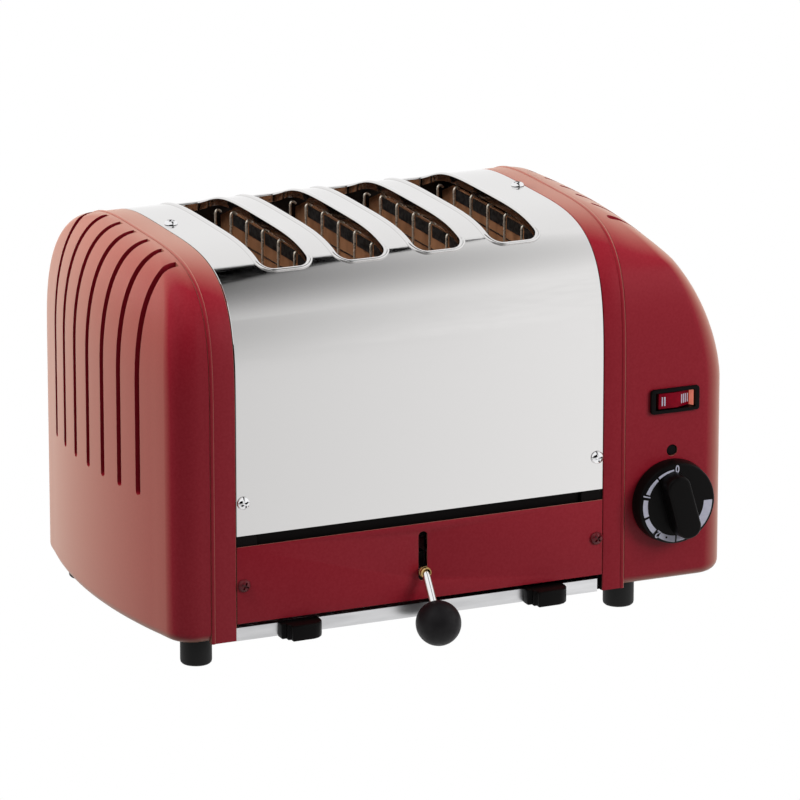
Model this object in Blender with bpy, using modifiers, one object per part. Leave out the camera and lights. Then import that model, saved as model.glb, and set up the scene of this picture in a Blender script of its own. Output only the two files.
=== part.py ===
"""Four-slot pop-up toaster: a bright steel loaf body between two red cast ends.

Every physical piece is its own object.  All sizes are metres, +Z is up, +X is
the toaster's right-hand end (the one with the controls) and -Y is its front.
The model hangs on one empty, so the front-to-back middle of the whole object,
lever included, lies over the world origin.
"""

import math

import bmesh
import bpy
from mathutils import Matrix, Vector

MM = 0.001

# ---- driving dimensions ---------------------------------------------------
BODY_HALF_DEPTH = 101.7 * MM      # loaf section, middle to front face
BODY_TOP = 226.5 * MM             # crown of the loaf above the table
SHOULDER_Z = 120.7 * MM           # front and back are plumb below this height
ARCH_POWER_Y = 3.888              # how square the loaf's arch is, sideways
ARCH_POWER_Z = 4.461              # and upwards

LEFT_SEAM = -147.8 * MM           # left cap meets its frame
LEFT_BAND = -132.6 * MM           # left frame meets the steel
RIGHT_BAND = 91.2 * MM            # steel meets the right frame
RIGHT_SEAM = 104.7 * MM           # right frame meets its cap
END_X = 180.0 * MM                # both ends at their furthest
END_FACE_RADIUS = 372.0 * MM      # the end faces bulge gently
END_CORNER_RADIUS = 17.0 * MM
CAP_WALL = 2.6 * MM
CAP_BOTTOM = 15.5 * MM
CAP_FOOT_RADIUS = 6.5 * MM         # rounding of the caps' lowest edge
CROWN_ROUNDING = (200.0 * MM, 240.0 * MM)   # the right cap's plan turns oval with height
LEFT_FALL = (2.35, 155.0 * MM)    # how squarely a cap falls away, and from what height
RIGHT_FALL = (1.6, 130.0 * MM)
TOP_SCREW_Y = 6.0 * MM
GAP = 0.3 * MM                    # running clearance between pieces

PANEL_THICK = 0.9 * MM
PANEL_BOTTOM = 75.1 * MM
COVER_TOP = 68.7 * MM
COVER_BOTTOM = 24.5 * MM
FRAME_THICK = 3.2 * MM
FRAME_FLANGE = 13.0 * MM          # ledge behind the steel that takes the screws
FRAME_BOTTOM = 14.8 * MM

SLOT_CENTRES = [-90.2 * MM, -43.9 * MM, 2.4 * MM, 48.8 * MM]
SLOT_WIDTH = 28.4 * MM
SLOT_HALF_LENGTH = 75.0 * MM
SLOT_CORNER = 7.0 * MM
RIM_RADIUS = 1.7 * MM

ELEMENT_CENTRES = [-113.4 * MM, -67.0 * MM, -20.7 * MM, 25.7 * MM, 72.1 * MM]
ELEMENT_BOTTOM = 74.0 * MM
ELEMENT_TOP = 215.5 * MM
GUARD_TOP = 216.0 * MM
CHAMBER_TOP = 214.5 * MM
CHAMBER_HALF_LENGTH = 77.0 * MM

LOUVRE_COUNT = 7
LOUVRE_PITCH = 20.74 * MM
LOUVRE_WIDTH = 4.5 * MM
LOUVRE_BOTTOM = 93.1 * MM
LOUVRE_START = {"left": 158.5 * MM, "right": 111.0 * MM}   # inner ends, from the middle

LEVER_X = -20.0 * MM
LEVER_TRAVEL = 20.0 * MM
BALL_RADIUS = 12.8 * MM
BALL_CENTRE = (LEVER_X, -122.8 * MM, 16.6 * MM)
COLLAR_Z = 41.0 * MM

KNOB_X = 133.5 * MM
KNOB_Z = 63.5 * MM
KNOB_RADIUS = 24.4 * MM
KNOB_SKIRT = 9.0 * MM             # thickness of the printed disc under the grip
SWITCH_X = 135.0 * MM
SWITCH_Z = 122.4 * MM

FOOT_RADIUS = 8.9 * MM
FOOT_POSITIONS = {"foot_front_left": (-150.5, -85.4), "foot_front_right": (109.2, -85.4),
                  "foot_rear_left": (-150.5, 85.4), "foot_rear_right": (109.2, 85.4)}

BASE_TOP = 23.7 * MM
BASE_THICK = 1.5 * MM
TRAY_BOTTOM = 14.0 * MM
TRAY_TOP = 21.6 * MM
TRAY_TAB_OFFSET = 75.0 * MM

CENTRING_SHIFT = 15.45 * MM       # puts the overall front-to-back middle on Y = 0

# ---- scene set-up ---------------------------------------------------------


def clear_scene():
    for old in list(bpy.data.objects):
        bpy.data.objects.remove(old, do_unlink=True)


def make_collection(name):
    made = bpy.data.collections.new(name)
    bpy.context.scene.collection.children.link(made)
    return made


clear_scene()
TOASTER = make_collection("pop_up_toaster")
CUTTERS = make_collection("cutters")
ROOT = bpy.data.objects.new("toaster_origin", None)
ROOT.location = (0, CENTRING_SHIFT, 0)
TOASTER.objects.link(ROOT)


def material(name, colour, roughness, metallic):
    made = bpy.data.materials.new(name)
    made.use_nodes = True
    shader = made.node_tree.nodes["Principled BSDF"]
    shader.inputs["Base Color"].default_value = (*colour, 1.0)
    shader.inputs["Roughness"].default_value = roughness
    shader.inputs["Metallic"].default_value = metallic
    return made


STEEL = material("polished_steel", (0.80, 0.80, 0.80), 0.12, 1.0)
ENAMEL = material("red_enamel", (0.26, 0.015, 0.025), 0.38, 0.15)
CHROME = material("chrome_plate", (0.85, 0.85, 0.86), 0.08, 1.0)
BRASS = material("brass", (0.78, 0.56, 0.24), 0.25, 1.0)
BLACK = material("black_phenolic", (0.012, 0.012, 0.013), 0.32, 0.0)
RUBBER = material("black_rubber", (0.02, 0.02, 0.02), 0.7, 0.0)
ALUMINIUM = material("bare_aluminium", (0.72, 0.72, 0.73), 0.32, 1.0)
DARK_SHEET = material("dark_sheet_steel", (0.10, 0.10, 0.11), 0.5, 0.8)
MICA = material("mica_board", (0.22, 0.14, 0.08), 0.6, 0.0)
RED_LENS = material("red_switch_lens", (0.45, 0.01, 0.02), 0.2, 0.0)


def add_object(name, mesh, look=None, collection=None):
    made = bpy.data.objects.new(name, mesh)
    (collection or TOASTER).objects.link(made)
    made.parent = ROOT
    if look is not None:
        mesh.materials.clear()
        mesh.materials.append(look)
    return made


def mesh_from(bm, name):
    bmesh.ops.recalc_face_normals(bm, faces=bm.faces[:])
    mesh = bpy.data.meshes.new(name)
    bm.to_mesh(mesh)
    bm.free()
    return mesh


def as_cutter(obj):
    for owner in list(obj.users_collection):
        owner.objects.unlink(obj)
    CUTTERS.objects.link(obj)
    obj.hide_render = True
    obj.display_type = "WIRE"
    return obj


def add_boolean(obj, other, operation="DIFFERENCE"):
    step = obj.modifiers.new(operation.lower(), "BOOLEAN")
    step.operation = operation
    step.object = other
    step.solver = "EXACT"
    return step


def smooth(obj, angle=35):
    obj.data.shade_smooth()
    obj.data.set_sharp_from_angle(angle=math.radians(angle))
    return obj


def bevel(obj, width, segments=2, angle=40):
    step = obj.modifiers.new("rounded_edges", "BEVEL")
    step.width = width
    step.segments = segments
    step.limit_method = "ANGLE"
    step.angle_limit = math.radians(angle)
    return step


def evaluated_mesh(obj, name):
    """The object's shape with its modifiers or curve bevel worked out, welded closed."""
    bpy.context.view_layer.update()
    view = bpy.context.evaluated_depsgraph_get()
    mesh = bpy.data.meshes.new_from_object(obj.evaluated_get(view))
    mesh.name = name
    bm = bmesh.new()
    bm.from_mesh(mesh)
    bmesh.ops.remove_doubles(bm, verts=bm.verts[:], dist=0.00001)
    bmesh.ops.recalc_face_normals(bm, faces=bm.faces[:])
    bm.to_mesh(mesh)
    bm.free()
    return mesh


# ---- simple shapes --------------------------------------------------------


def box(name, low, high, look, origin=(0, 0, 0)):
    """A box between two corners; its own origin sits at `origin`."""
    low, high, origin = Vector(low), Vector(high), Vector(origin)
    bm = bmesh.new()
    bmesh.ops.create_cube(bm, size=1.0)
    bmesh.ops.scale(bm, verts=bm.verts, vec=high - low)
    bmesh.ops.translate(bm, verts=bm.verts, vec=(low + high) / 2 - origin)
    made = add_object(name, mesh_from(bm, name), look)
    made.location = origin
    return made


def cylinder(name, radius, length, centre, axis, look, segments=32):
    """A plain cylinder centred on a point, along X, Y or Z."""
    bm = bmesh.new()
    bmesh.ops.create_cone(bm, cap_ends=True, segments=segments, radius1=radius,
                          radius2=radius, depth=length)
    turn = {"X": Matrix.Rotation(math.pi / 2, 3, "Y"),
            "Y": Matrix.Rotation(math.pi / 2, 3, "X"), "Z": Matrix.Identity(3)}[axis]
    bmesh.ops.rotate(bm, verts=bm.verts, cent=(0, 0, 0), matrix=turn)
    made = add_object(name, mesh_from(bm, name), look)
    made.location = centre
    return smooth(made)


def turned(name, profile, centre, rotation, look, steps=24, ring=False):
    """A turned piece: (radius, height) points down its outer side, spun about Z.

    With `ring` the profile closes on itself round an open bore.
    """
    bm = bmesh.new()
    verts = [bm.verts.new((radius, 0, height)) for radius, height in profile]
    for upper, lower in zip(verts, verts[1:] + (verts[:1] if ring else [])):
        bm.edges.new((upper, lower))
    mesh = bpy.data.meshes.new(name)
    bm.to_mesh(mesh)
    bm.free()
    made = add_object(name, mesh, look)
    screw = made.modifiers.new("turn", "SCREW")
    screw.steps = screw.render_steps = steps
    screw.use_merge_vertices = True
    screw.merge_threshold = 0.00001
    made.location = centre
    made.rotation_euler = rotation
    return made


def rod(name, points, radius, look, resolution=2):
    """A round rod or wire through straight stretches, welded shut at its ends."""
    curve = bpy.data.curves.new(name, "CURVE")
    curve.dimensions = "3D"
    curve.bevel_depth = radius
    curve.bevel_resolution = resolution
    curve.use_fill_caps = True
    line = curve.splines.new("POLY")
    line.points.add(len(points) - 1)
    for point, place in zip(line.points, points):
        point.co = (*place, 1.0)
    temporary = bpy.data.objects.new(name + "_curve", curve)
    TOASTER.objects.link(temporary)
    mesh = evaluated_mesh(temporary, name)
    bpy.data.objects.remove(temporary, do_unlink=True)
    return add_object(name, mesh, look)


def extrude_outline(name, outline, low, high, axis, look):
    """A flat outline pushed along an axis; the outline lists the other two coordinates."""
    bm = bmesh.new()
    order = {"X": lambda a, b, c: (c, a, b), "Y": lambda a, b, c: (a, c, b),
             "Z": lambda a, b, c: (a, b, c)}[axis]
    face = bm.faces.new([bm.verts.new(order(a, b, low)) for a, b in outline])
    grown = bmesh.ops.extrude_face_region(bm, geom=[face])
    moved = [item for item in grown["geom"] if isinstance(item, bmesh.types.BMVert)]
    bmesh.ops.translate(bm, verts=moved, vec=Vector(order(0, 0, high - low)))
    return add_object(name, mesh_from(bm, name), look)


def rounded_rectangle(half_width, half_height, radius, steps=5):
    """Outline points of a rounded rectangle about its own centre."""
    points = []
    for quarter, (sx, sy) in enumerate(((1, 1), (-1, 1), (-1, -1), (1, -1))):
        cx, cy = sx * (half_width - radius), sy * (half_height - radius)
        for i in range(steps + 1):
            turn = (quarter + i / steps) * math.pi / 2
            points.append((cx + radius * math.cos(turn), cy + radius * math.sin(turn)))
    return points


# ---- the loaf section -----------------------------------------------------


def arch_point(angle, inset=0.0):
    """Y and Z on the loaf's arch; 0 is the front shoulder, pi the back one."""
    half, rise = BODY_HALF_DEPTH - inset, BODY_TOP - SHOULDER_Z - inset
    across, up = math.cos(angle), abs(math.sin(angle))
    y = -math.copysign(abs(across) ** (2 / ARCH_POWER_Y), across) * half
    return y, SHOULDER_Z + up ** (2 / ARCH_POWER_Z) * rise


def even_arch(count):
    """Arch angles spaced so the points lie about evenly along the arch."""
    fine = [math.pi * i / 720 for i in range(721)]
    points = [Vector(arch_point(a)) for a in fine]
    run = [0.0]
    for before, after in zip(points, points[1:]):
        run.append(run[-1] + (after - before).length)
    angles, place = [], 0
    for i in range(count + 1):
        target = run[-1] * i / count
        while place < 719 and run[place + 1] < target:
            place += 1
        span = run[place + 1] - run[place]
        angles.append(fine[place] + (fine[1] * (target - run[place]) / span if span else 0))
    angles[0], angles[-1] = 0.0, math.pi
    return angles


def loaf_path(bottom, inset=0.0, count=30):
    """The loaf section from the front bottom edge, over the top, to the back."""
    path = [(-BODY_HALF_DEPTH + inset, bottom)]
    path += [arch_point(angle, inset) for angle in even_arch(count)]
    return path + [(BODY_HALF_DEPTH - inset, bottom)]


def sweep_over_loaf(name, section, bottom, look):
    """Carries an (x, inset) section over the loaf, front bottom to back bottom."""
    bm = bmesh.new()
    rails = []
    for x, inset in section:
        rails.append([bm.verts.new((x, y, z)) for y, z in loaf_path(bottom, inset)])
    for one, two in zip(rails, rails[1:] + rails[:1]):
        for i in range(len(one) - 1):
            bm.faces.new((one[i], one[i + 1], two[i + 1], two[i]))
    bm.faces.new([rail[0] for rail in rails])
    bm.faces.new([rail[-1] for rail in reversed(rails)])
    return smooth(add_object(name, mesh_from(bm, name), look))


# ---- body panel with its rolled slot rims ---------------------------------


def slot_rim_path(centre_x):
    """A closed loop round one bread slot, draped on the loaf's crown."""
    outline = rounded_rectangle(SLOT_WIDTH / 2 + RIM_RADIUS, SLOT_HALF_LENGTH + RIM_RADIUS,
                                SLOT_CORNER + RIM_RADIUS, steps=3)
    full = []
    for (x1, y1), (x2, y2) in zip(outline, outline[1:] + outline[:1]):
        pieces = 6 if abs(y2 - y1) > 40 * MM else 1
        for i in range(pieces):
            part = i / pieces
            full.append((x1 + (x2 - x1) * part, y1 + (y2 - y1) * part))
    loop = []
    for x, y in full:
        share = min(abs(y) / BODY_HALF_DEPTH, 0.999) ** ARCH_POWER_Y
        z = SHOULDER_Z + (BODY_TOP - SHOULDER_Z) * (1 - share) ** (1 / ARCH_POWER_Z)
        loop.append(Vector((centre_x + x, y, z + 0.1 * MM)))
    return loop


def closed_tube(name, loop, radius, look, sides=6):
    """A ring of round section whose middle line follows a closed loop."""
    bm = bmesh.new()
    rings = []
    for i, here in enumerate(loop):
        along = (loop[(i + 1) % len(loop)] - loop[i - 1]).normalized()
        side = along.cross(Vector((0, 0, 1))).normalized()
        up = side.cross(along)
        rings.append([bm.verts.new(here + radius * (side * math.cos(t) + up * math.sin(t)))
                      for t in (2 * math.pi * k / sides for k in range(sides))])
    for one, two in zip(rings, rings[1:] + rings[:1]):
        for k in range(sides):
            bm.faces.new((one[k], two[k], two[(k + 1) % sides], one[(k + 1) % sides]))
    return add_object(name, mesh_from(bm, name), look)


def build_body_panel():
    left, right = LEFT_BAND + GAP, RIGHT_BAND - GAP
    section = [(left, 0), (right, 0), (right, PANEL_THICK), (left, PANEL_THICK)]
    panel = sweep_over_loaf("body_panel", section, PANEL_BOTTOM, STEEL)
    for i, x in enumerate(SLOT_CENTRES):
        outline = rounded_rectangle(SLOT_WIDTH / 2 + 1.5 * MM, SLOT_HALF_LENGTH + 1.5 * MM,
                                    SLOT_CORNER)
        hole = extrude_outline(f"slot_{i + 1}_hole", [(x + a, b) for a, b in outline],
                               0.19, 0.24, "Z", None)
        add_boolean(panel, as_cutter(hole))
        rim = closed_tube(f"slot_{i + 1}_rim", slot_rim_path(x), RIM_RADIUS, STEEL)
        add_boolean(panel, as_cutter(rim), "UNION")
    return panel


def build_end_frames():
    """Cast hoops: a visible band, and a sunk ledge that carries the steel."""
    sunk = PANEL_THICK + GAP
    doorway = as_cutter(box("tray_doorway", (LEFT_BAND, -0.2, 0), (RIGHT_BAND, 0.2, COVER_BOTTOM),
                            None))
    for name, seam, band, inward in (("left_end_frame", LEFT_SEAM, LEFT_BAND, 1),
                                     ("right_end_frame", RIGHT_SEAM, RIGHT_BAND, -1)):
        start, ledge = seam + inward * GAP, band + inward * FRAME_FLANGE
        section = [(start, 0), (band, 0), (band, sunk), (ledge, sunk),
                   (ledge, FRAME_THICK), (start, FRAME_THICK)]
        frame = sweep_over_loaf(name, section, FRAME_BOTTOM, ENAMEL)
        add_boolean(frame, doorway)


def build_lower_covers():
    """Flat painted covers under the steel; the front one is slotted for the lever."""
    outer, inner = BODY_HALF_DEPTH, BODY_HALF_DEPTH - PANEL_THICK
    left, right = LEFT_BAND + GAP, RIGHT_BAND - GAP
    front = box("front_lower_cover", (left, -outer, COVER_BOTTOM), (right, -inner, COVER_TOP),
                ENAMEL)
    slot = [(LEVER_X + a, 46.2 * MM + b)
            for a, b in rounded_rectangle(2.6 * MM, 17.2 * MM, 2.4 * MM)]
    cutter = extrude_outline("lever_slot", slot, -0.12, -0.08, "Y", None)
    add_boolean(front, as_cutter(cutter))
    box("rear_lower_cover", (left, inner, COVER_BOTTOM), (right, outer, COVER_TOP), ENAMEL)


# ---- the end caps ---------------------------------------------------------


def cap_plan(seam, end, inset):
    """Plan outline of a cap from its front seam, round the end, to its back seam."""
    half, radius = BODY_HALF_DEPTH - inset, END_CORNER_RADIUS - inset
    face = END_FACE_RADIUS - inset
    corner_y = half - radius
    face_x = end - inset - face
    corner_x = face_x + math.sqrt(face ** 2 - corner_y ** 2) - radius
    lean = math.asin(corner_y / face)
    front = [(seam, -half), ((seam + corner_x) / 2, -half)]
    for i in range(5):
        turn = -math.pi / 2 + (math.pi / 2 - lean) * i / 4
        front.append((corner_x + radius * math.cos(turn), -corner_y + radius * math.sin(turn)))
    for i in range(1, 6):
        turn = -lean * (1 - i / 5)
        front.append((face_x + face * math.cos(turn), face * math.sin(turn)))
    return front + [(x, -y) for x, y in reversed(front[:-1])]


def oval_plan(plan, seam, end, share):
    """The plan pulled part of the way toward a half ellipse on the same seam."""
    half = max(y for x, y in plan)
    turned_plan = []
    for x, y in plan:
        turn = math.atan2(y / half, (x - seam) / (end - seam))
        oval = (seam + (end - seam) * math.cos(turn), half * math.sin(turn))
        turned_plan.append((x + (oval[0] - x) * share, y + (oval[1] - y) * share))
    return turned_plan


def cap_body(name, seam, end, fall, inset, bottom, look):
    """A cap as a solid lump: its plan shrinks toward the seam as it rises."""
    rise = BODY_TOP - SHOULDER_Z - inset
    (fall_power, fall_start), oval = fall, fall is RIGHT_FALL
    fall_rise = BODY_TOP - inset - fall_start
    plan = cap_plan(seam, end, inset)
    foot = CAP_FOOT_RADIUS if inset == 0 else 0.0
    rings = []
    for i in range(4 if foot else 0):
        turn = math.pi / 2 * i / 4
        tucked = cap_plan(seam, end, foot * (1 - math.sin(turn)))
        rings.append([(x, y, bottom + foot * (1 - math.cos(turn))) for x, y in tucked])
    levels = [(bottom + foot, 1.0, 1.0), (SHOULDER_Z, 1.0, 1.0)]
    for i in range(1, 12):
        up = math.sin(math.pi / 2 * i / 11) ** 0.8
        z = SHOULDER_Z + up * rise
        narrow = max(1 - up ** ARCH_POWER_Z, 0.0) ** (1 / ARCH_POWER_Y)
        drop = min(max((z - fall_start) / fall_rise, 0.0), 1.0)
        levels.append((z, (1 - drop ** fall_power) ** (1 / fall_power), narrow))
    levels[-1] = (BODY_TOP - inset, 0.0, 0.0)
    low, high = CROWN_ROUNDING
    for z, reach, narrow in levels[:-1]:
        share = min(max((z - low) / (high - low), 0.0), 1.0) if oval else 0.0
        rings.append([(seam + (x - seam) * reach, y * narrow, z)
                      for x, y in oval_plan(plan, seam, end - inset, share)])
    bm = bmesh.new()
    rings = [[bm.verts.new(place) for place in ring] for ring in rings]
    for one, two in zip(rings, rings[1:]):
        for i in range(len(plan) - 1):
            bm.faces.new((one[i], one[i + 1], two[i + 1], two[i]))
    crown = bm.verts.new((seam, 0, levels[-1][0]))
    for a, b in zip(rings[-1], rings[-1][1:]):
        bm.faces.new((a, b, crown))
    bm.faces.new(list(reversed(rings[0])))
    bm.faces.new([ring[0] for ring in rings] + [crown] + [ring[-1] for ring in reversed(rings)])
    bmesh.ops.triangulate(bm, faces=[face for face in bm.faces if len(face.verts) == 4])
    return add_object(name, mesh_from(bm, name), look)


def louvre_cutter(name, mirrored):
    """Seven upright slits, as one comb of slabs that reach in from the end."""
    bm = bmesh.new()
    inner = LOUVRE_START["left" if mirrored else "right"]
    length = 218 * MM - inner
    for i in range(LOUVRE_COUNT):
        y = (i - LOUVRE_COUNT // 2) * LOUVRE_PITCH
        slab = bmesh.ops.create_cube(bm, size=1.0)["verts"]
        bmesh.ops.scale(bm, verts=slab, vec=(length, LOUVRE_WIDTH, 150 * MM))
        bmesh.ops.translate(bm, verts=slab, vec=(inner + length / 2, y, LOUVRE_BOTTOM + 75 * MM))
    if mirrored:
        bmesh.ops.scale(bm, verts=bm.verts, vec=(-1, 1, 1))
    return as_cutter(add_object(name, mesh_from(bm, name)))


def build_end_caps():
    for name, seam, fall in (("left_end_cap", -LEFT_SEAM, LEFT_FALL),
                             ("right_end_cap", RIGHT_SEAM, RIGHT_FALL)):
        cap = cap_body(name, seam, END_X, fall, 0, CAP_BOTTOM, ENAMEL)
        mouth = seam - 5 * MM
        hollow = cap_body(name + "_hollow", mouth, END_X, fall, CAP_WALL,
                          CAP_BOTTOM + CAP_WALL, None)
        well = extrude_outline(name + "_well", cap_plan(mouth, END_X, 7.0 * MM),
                               0.0, 30 * MM, "Z", None)
        mirrored = name.startswith("left")
        if mirrored:
            for lump in (cap, hollow, well):
                lump.data.transform(Matrix.Scale(-1, 4, (1, 0, 0)))
                lump.data.flip_normals()
        for cutter in (hollow, well, louvre_cutter(name + "_louvres", mirrored)):
            add_boolean(cap, as_cutter(cutter))
        smooth(cap)
    cap = bpy.data.objects["right_end_cap"]
    front = -BODY_HALF_DEPTH
    holes = (cylinder("shaft_hole", 4.3 * MM, 0.02, (KNOB_X, front, KNOB_Z), "Y", None),
             cylinder("index_hole", 3.5 * MM, 0.02, (134.2 * MM, front, 92.5 * MM), "Y", None),
             box("switch_hole", (SWITCH_X - 13.3 * MM, front - 0.01, SWITCH_Z - 5.7 * MM),
                 (SWITCH_X + 13.3 * MM, front + 0.01, SWITCH_Z + 5.7 * MM), None),
             cylinder("inlet_hole", 6.3 * MM, 0.02, (140 * MM, -front, 40 * MM), "Y", None))
    for hole in holes:
        add_boolean(cap, as_cutter(hole))


# ---- base, feet and crumb tray --------------------------------------------


def build_base():
    """A flat plate under everything, open over the crumb tray, with rails to hold the tray."""
    low, high = BASE_TOP - BASE_THICK, BASE_TOP
    plate = extrude_outline("base_frame", rounded_rectangle(163 * MM, 93.6 * MM, 18 * MM, steps=3),
                            low, high, "Z", DARK_SHEET)
    window = box("crumb_window", (-113 * MM, -72 * MM, 0), (72 * MM, 72 * MM, 0.05), None)
    add_boolean(plate, as_cutter(window))
    for i, (x, inward) in enumerate(((-132.0 * MM, 1), (90.6 * MM, -1))):
        lip = x + inward * 4 * MM
        rail = [(x, low + 0.5 * MM), (x, 12.2 * MM), (lip, 12.2 * MM), (lip, 13.4 * MM),
                (x + inward * 1.2 * MM, 13.4 * MM), (x + inward * 1.2 * MM, low + 0.5 * MM)]
        piece = extrude_outline(f"tray_rail_{i + 1}", rail, -90 * MM, 90 * MM, "Y", DARK_SHEET)
        add_boolean(plate, as_cutter(piece), "UNION")
    for name, (x, y) in FOOT_POSITIONS.items():
        top = low - GAP
        profile = [(0, top), (FOOT_RADIUS, top), (FOOT_RADIUS, 2 * MM),
                   (FOOT_RADIUS - 0.6 * MM, 0.6 * MM), (FOOT_RADIUS - 2 * MM, 0), (0, 0)]
        smooth(turned(name, profile, (x * MM, y * MM, 0), (0, 0, 0), RUBBER, 16))


def build_crumb_tray():
    """A shallow tray that draws out to the front, with two moulded finger tabs."""
    front = -BODY_HALF_DEPTH + 2.0 * MM
    left, right = -130.3 * MM, 88.9 * MM
    outer = box("crumb_tray", (left, front, TRAY_BOTTOM), (right, 88 * MM, TRAY_TOP), ALUMINIUM,
                origin=(LEVER_X, front, TRAY_BOTTOM))
    wall = 1.0 * MM
    well = box("tray_well", (left + wall, front + 1.6 * MM, TRAY_BOTTOM + wall),
               (right - wall, 88 * MM - wall, 0.05), None)
    add_boolean(outer, as_cutter(well))
    fascia = box("tray_fascia", (LEFT_BAND + GAP, front, TRAY_BOTTOM),
                 (right, front + wall, TRAY_TOP), None)
    add_boolean(outer, as_cutter(fascia), "UNION")
    for name, side in (("left_tray_tab", -1), ("right_tray_tab", 1)):
        middle = LEVER_X - 0.6 * MM + side * TRAY_TAB_OFFSET
        bottom, back = TRAY_BOTTOM - 0.3 * MM, front - GAP
        outline = [(middle + a * MM, back + b * MM) for a, b in
                   ((12, 0), (12, -5), (10.4, -9.6), (5.2, -12.8), (-8, -13), (-8, -9.6),
                    (-9.6, -9.4), (-9.6, -6.4), (-12, -6.4), (-12, 0))]
        tab = extrude_outline(name, outline, bottom, bottom + 9.0 * MM, "Z", BLACK)
        bevel(tab, 1.2 * MM)


# ---- toasting chamber -----------------------------------------------------


def build_elements():
    """Mica boards wound with ribbon; the ribbons stand just proud on both faces."""
    half, ribbon = 0.6 * MM, 0.35 * MM
    for i, x in enumerate(ELEMENT_CENTRES):
        right_side = [(half, ELEMENT_BOTTOM)]
        for k in range(6):
            z = ELEMENT_BOTTOM + (14 + 21 * k) * MM
            right_side += [(half, z), (half + ribbon, z), (half + ribbon, z + 1.6 * MM),
                           (half, z + 1.6 * MM)]
        right_side.append((half, ELEMENT_TOP))
        left_side = [(-a, z) for a, z in reversed(right_side)]
        outline = [(x + a, z) for a, z in right_side + left_side]
        reach = CHAMBER_HALF_LENGTH - 1.3 * MM
        board = extrude_outline(f"heating_element_{i + 1}", outline, -reach, reach, "Y", MICA)
        for side in (-1, 1):
            wedge = [(side * 60 * MM, 218 * MM), (side * 60 * MM, ELEMENT_TOP + 0.2 * MM),
                     (side * 78 * MM, 208 * MM), (side * 78 * MM, 218 * MM)]
            clip = extrude_outline(f"element_clip_{i + 1}_{side:+d}", wedge, x - 3 * MM,
                                   x + 3 * MM, "X", None)
            add_boolean(board, as_cutter(clip))


def wire_guard_mesh():
    """One guard: seven upright wires welded between a top and a bottom rail."""
    wire, reach, foot, top = 2.0 * MM, 66 * MM, 76 * MM, GUARD_TOP
    uprights = [-reach + 2 * reach * k / 6 for k in range(7)]
    across = [y + side * wire / 2 for y in uprights for side in (-1, 1)]
    levels = [foot, foot + wire, top - 8 * MM - wire, top - 8 * MM, top]
    bm = bmesh.new()
    grid = [[bm.verts.new((-wire / 2, y, z)) for y in across] for z in levels]
    for row in range(4):
        for column in range(13):
            if row in (0, 2) or column % 2 == 0:
                bm.faces.new((grid[row][column], grid[row][column + 1],
                              grid[row + 1][column + 1], grid[row + 1][column]))
    grown = bmesh.ops.extrude_face_region(bm, geom=bm.faces[:])
    moved = [item for item in grown["geom"] if isinstance(item, bmesh.types.BMVert)]
    bmesh.ops.translate(bm, verts=moved, vec=(wire, 0, 0))
    return mesh_from(bm, "wire_guard")


def build_guards():
    mesh = wire_guard_mesh()
    for i, x in enumerate(SLOT_CENTRES):
        for side, word in ((-1, "left"), (1, "right")):
            guard = add_object(f"wire_guard_{i + 1}_{word}", mesh, CHROME)
            guard.location = (x + side * 15.5 * MM, 0, 0)


def build_chamber_walls():
    floor, top = BASE_TOP + GAP, CHAMBER_TOP
    left, right = ELEMENT_CENTRES[0] - 3.4 * MM, ELEMENT_CENTRES[-1] + 3.4 * MM
    reach, thick = CHAMBER_HALF_LENGTH, 1.0 * MM
    box("left_chamber_wall", (left - thick, -reach, floor), (left, reach, top), DARK_SHEET)
    box("right_chamber_wall", (right, -reach, floor), (right + thick, reach, top), DARK_SHEET)
    for name, y in (("front_chamber_wall", -reach), ("rear_chamber_wall", reach - thick)):
        box(name, (left + GAP, y, 72 * MM), (right - GAP, y + thick, top), DARK_SHEET)
    for name, y in (("front_baffle", -98.4 * MM), ("rear_baffle", 97.6 * MM)):
        box(name, (-118.5 * MM, y, 65.5 * MM), (77.2 * MM, y + 0.8 * MM, 86 * MM), DARK_SHEET)


# ---- lifter, which slides up and down -------------------------------------


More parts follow.
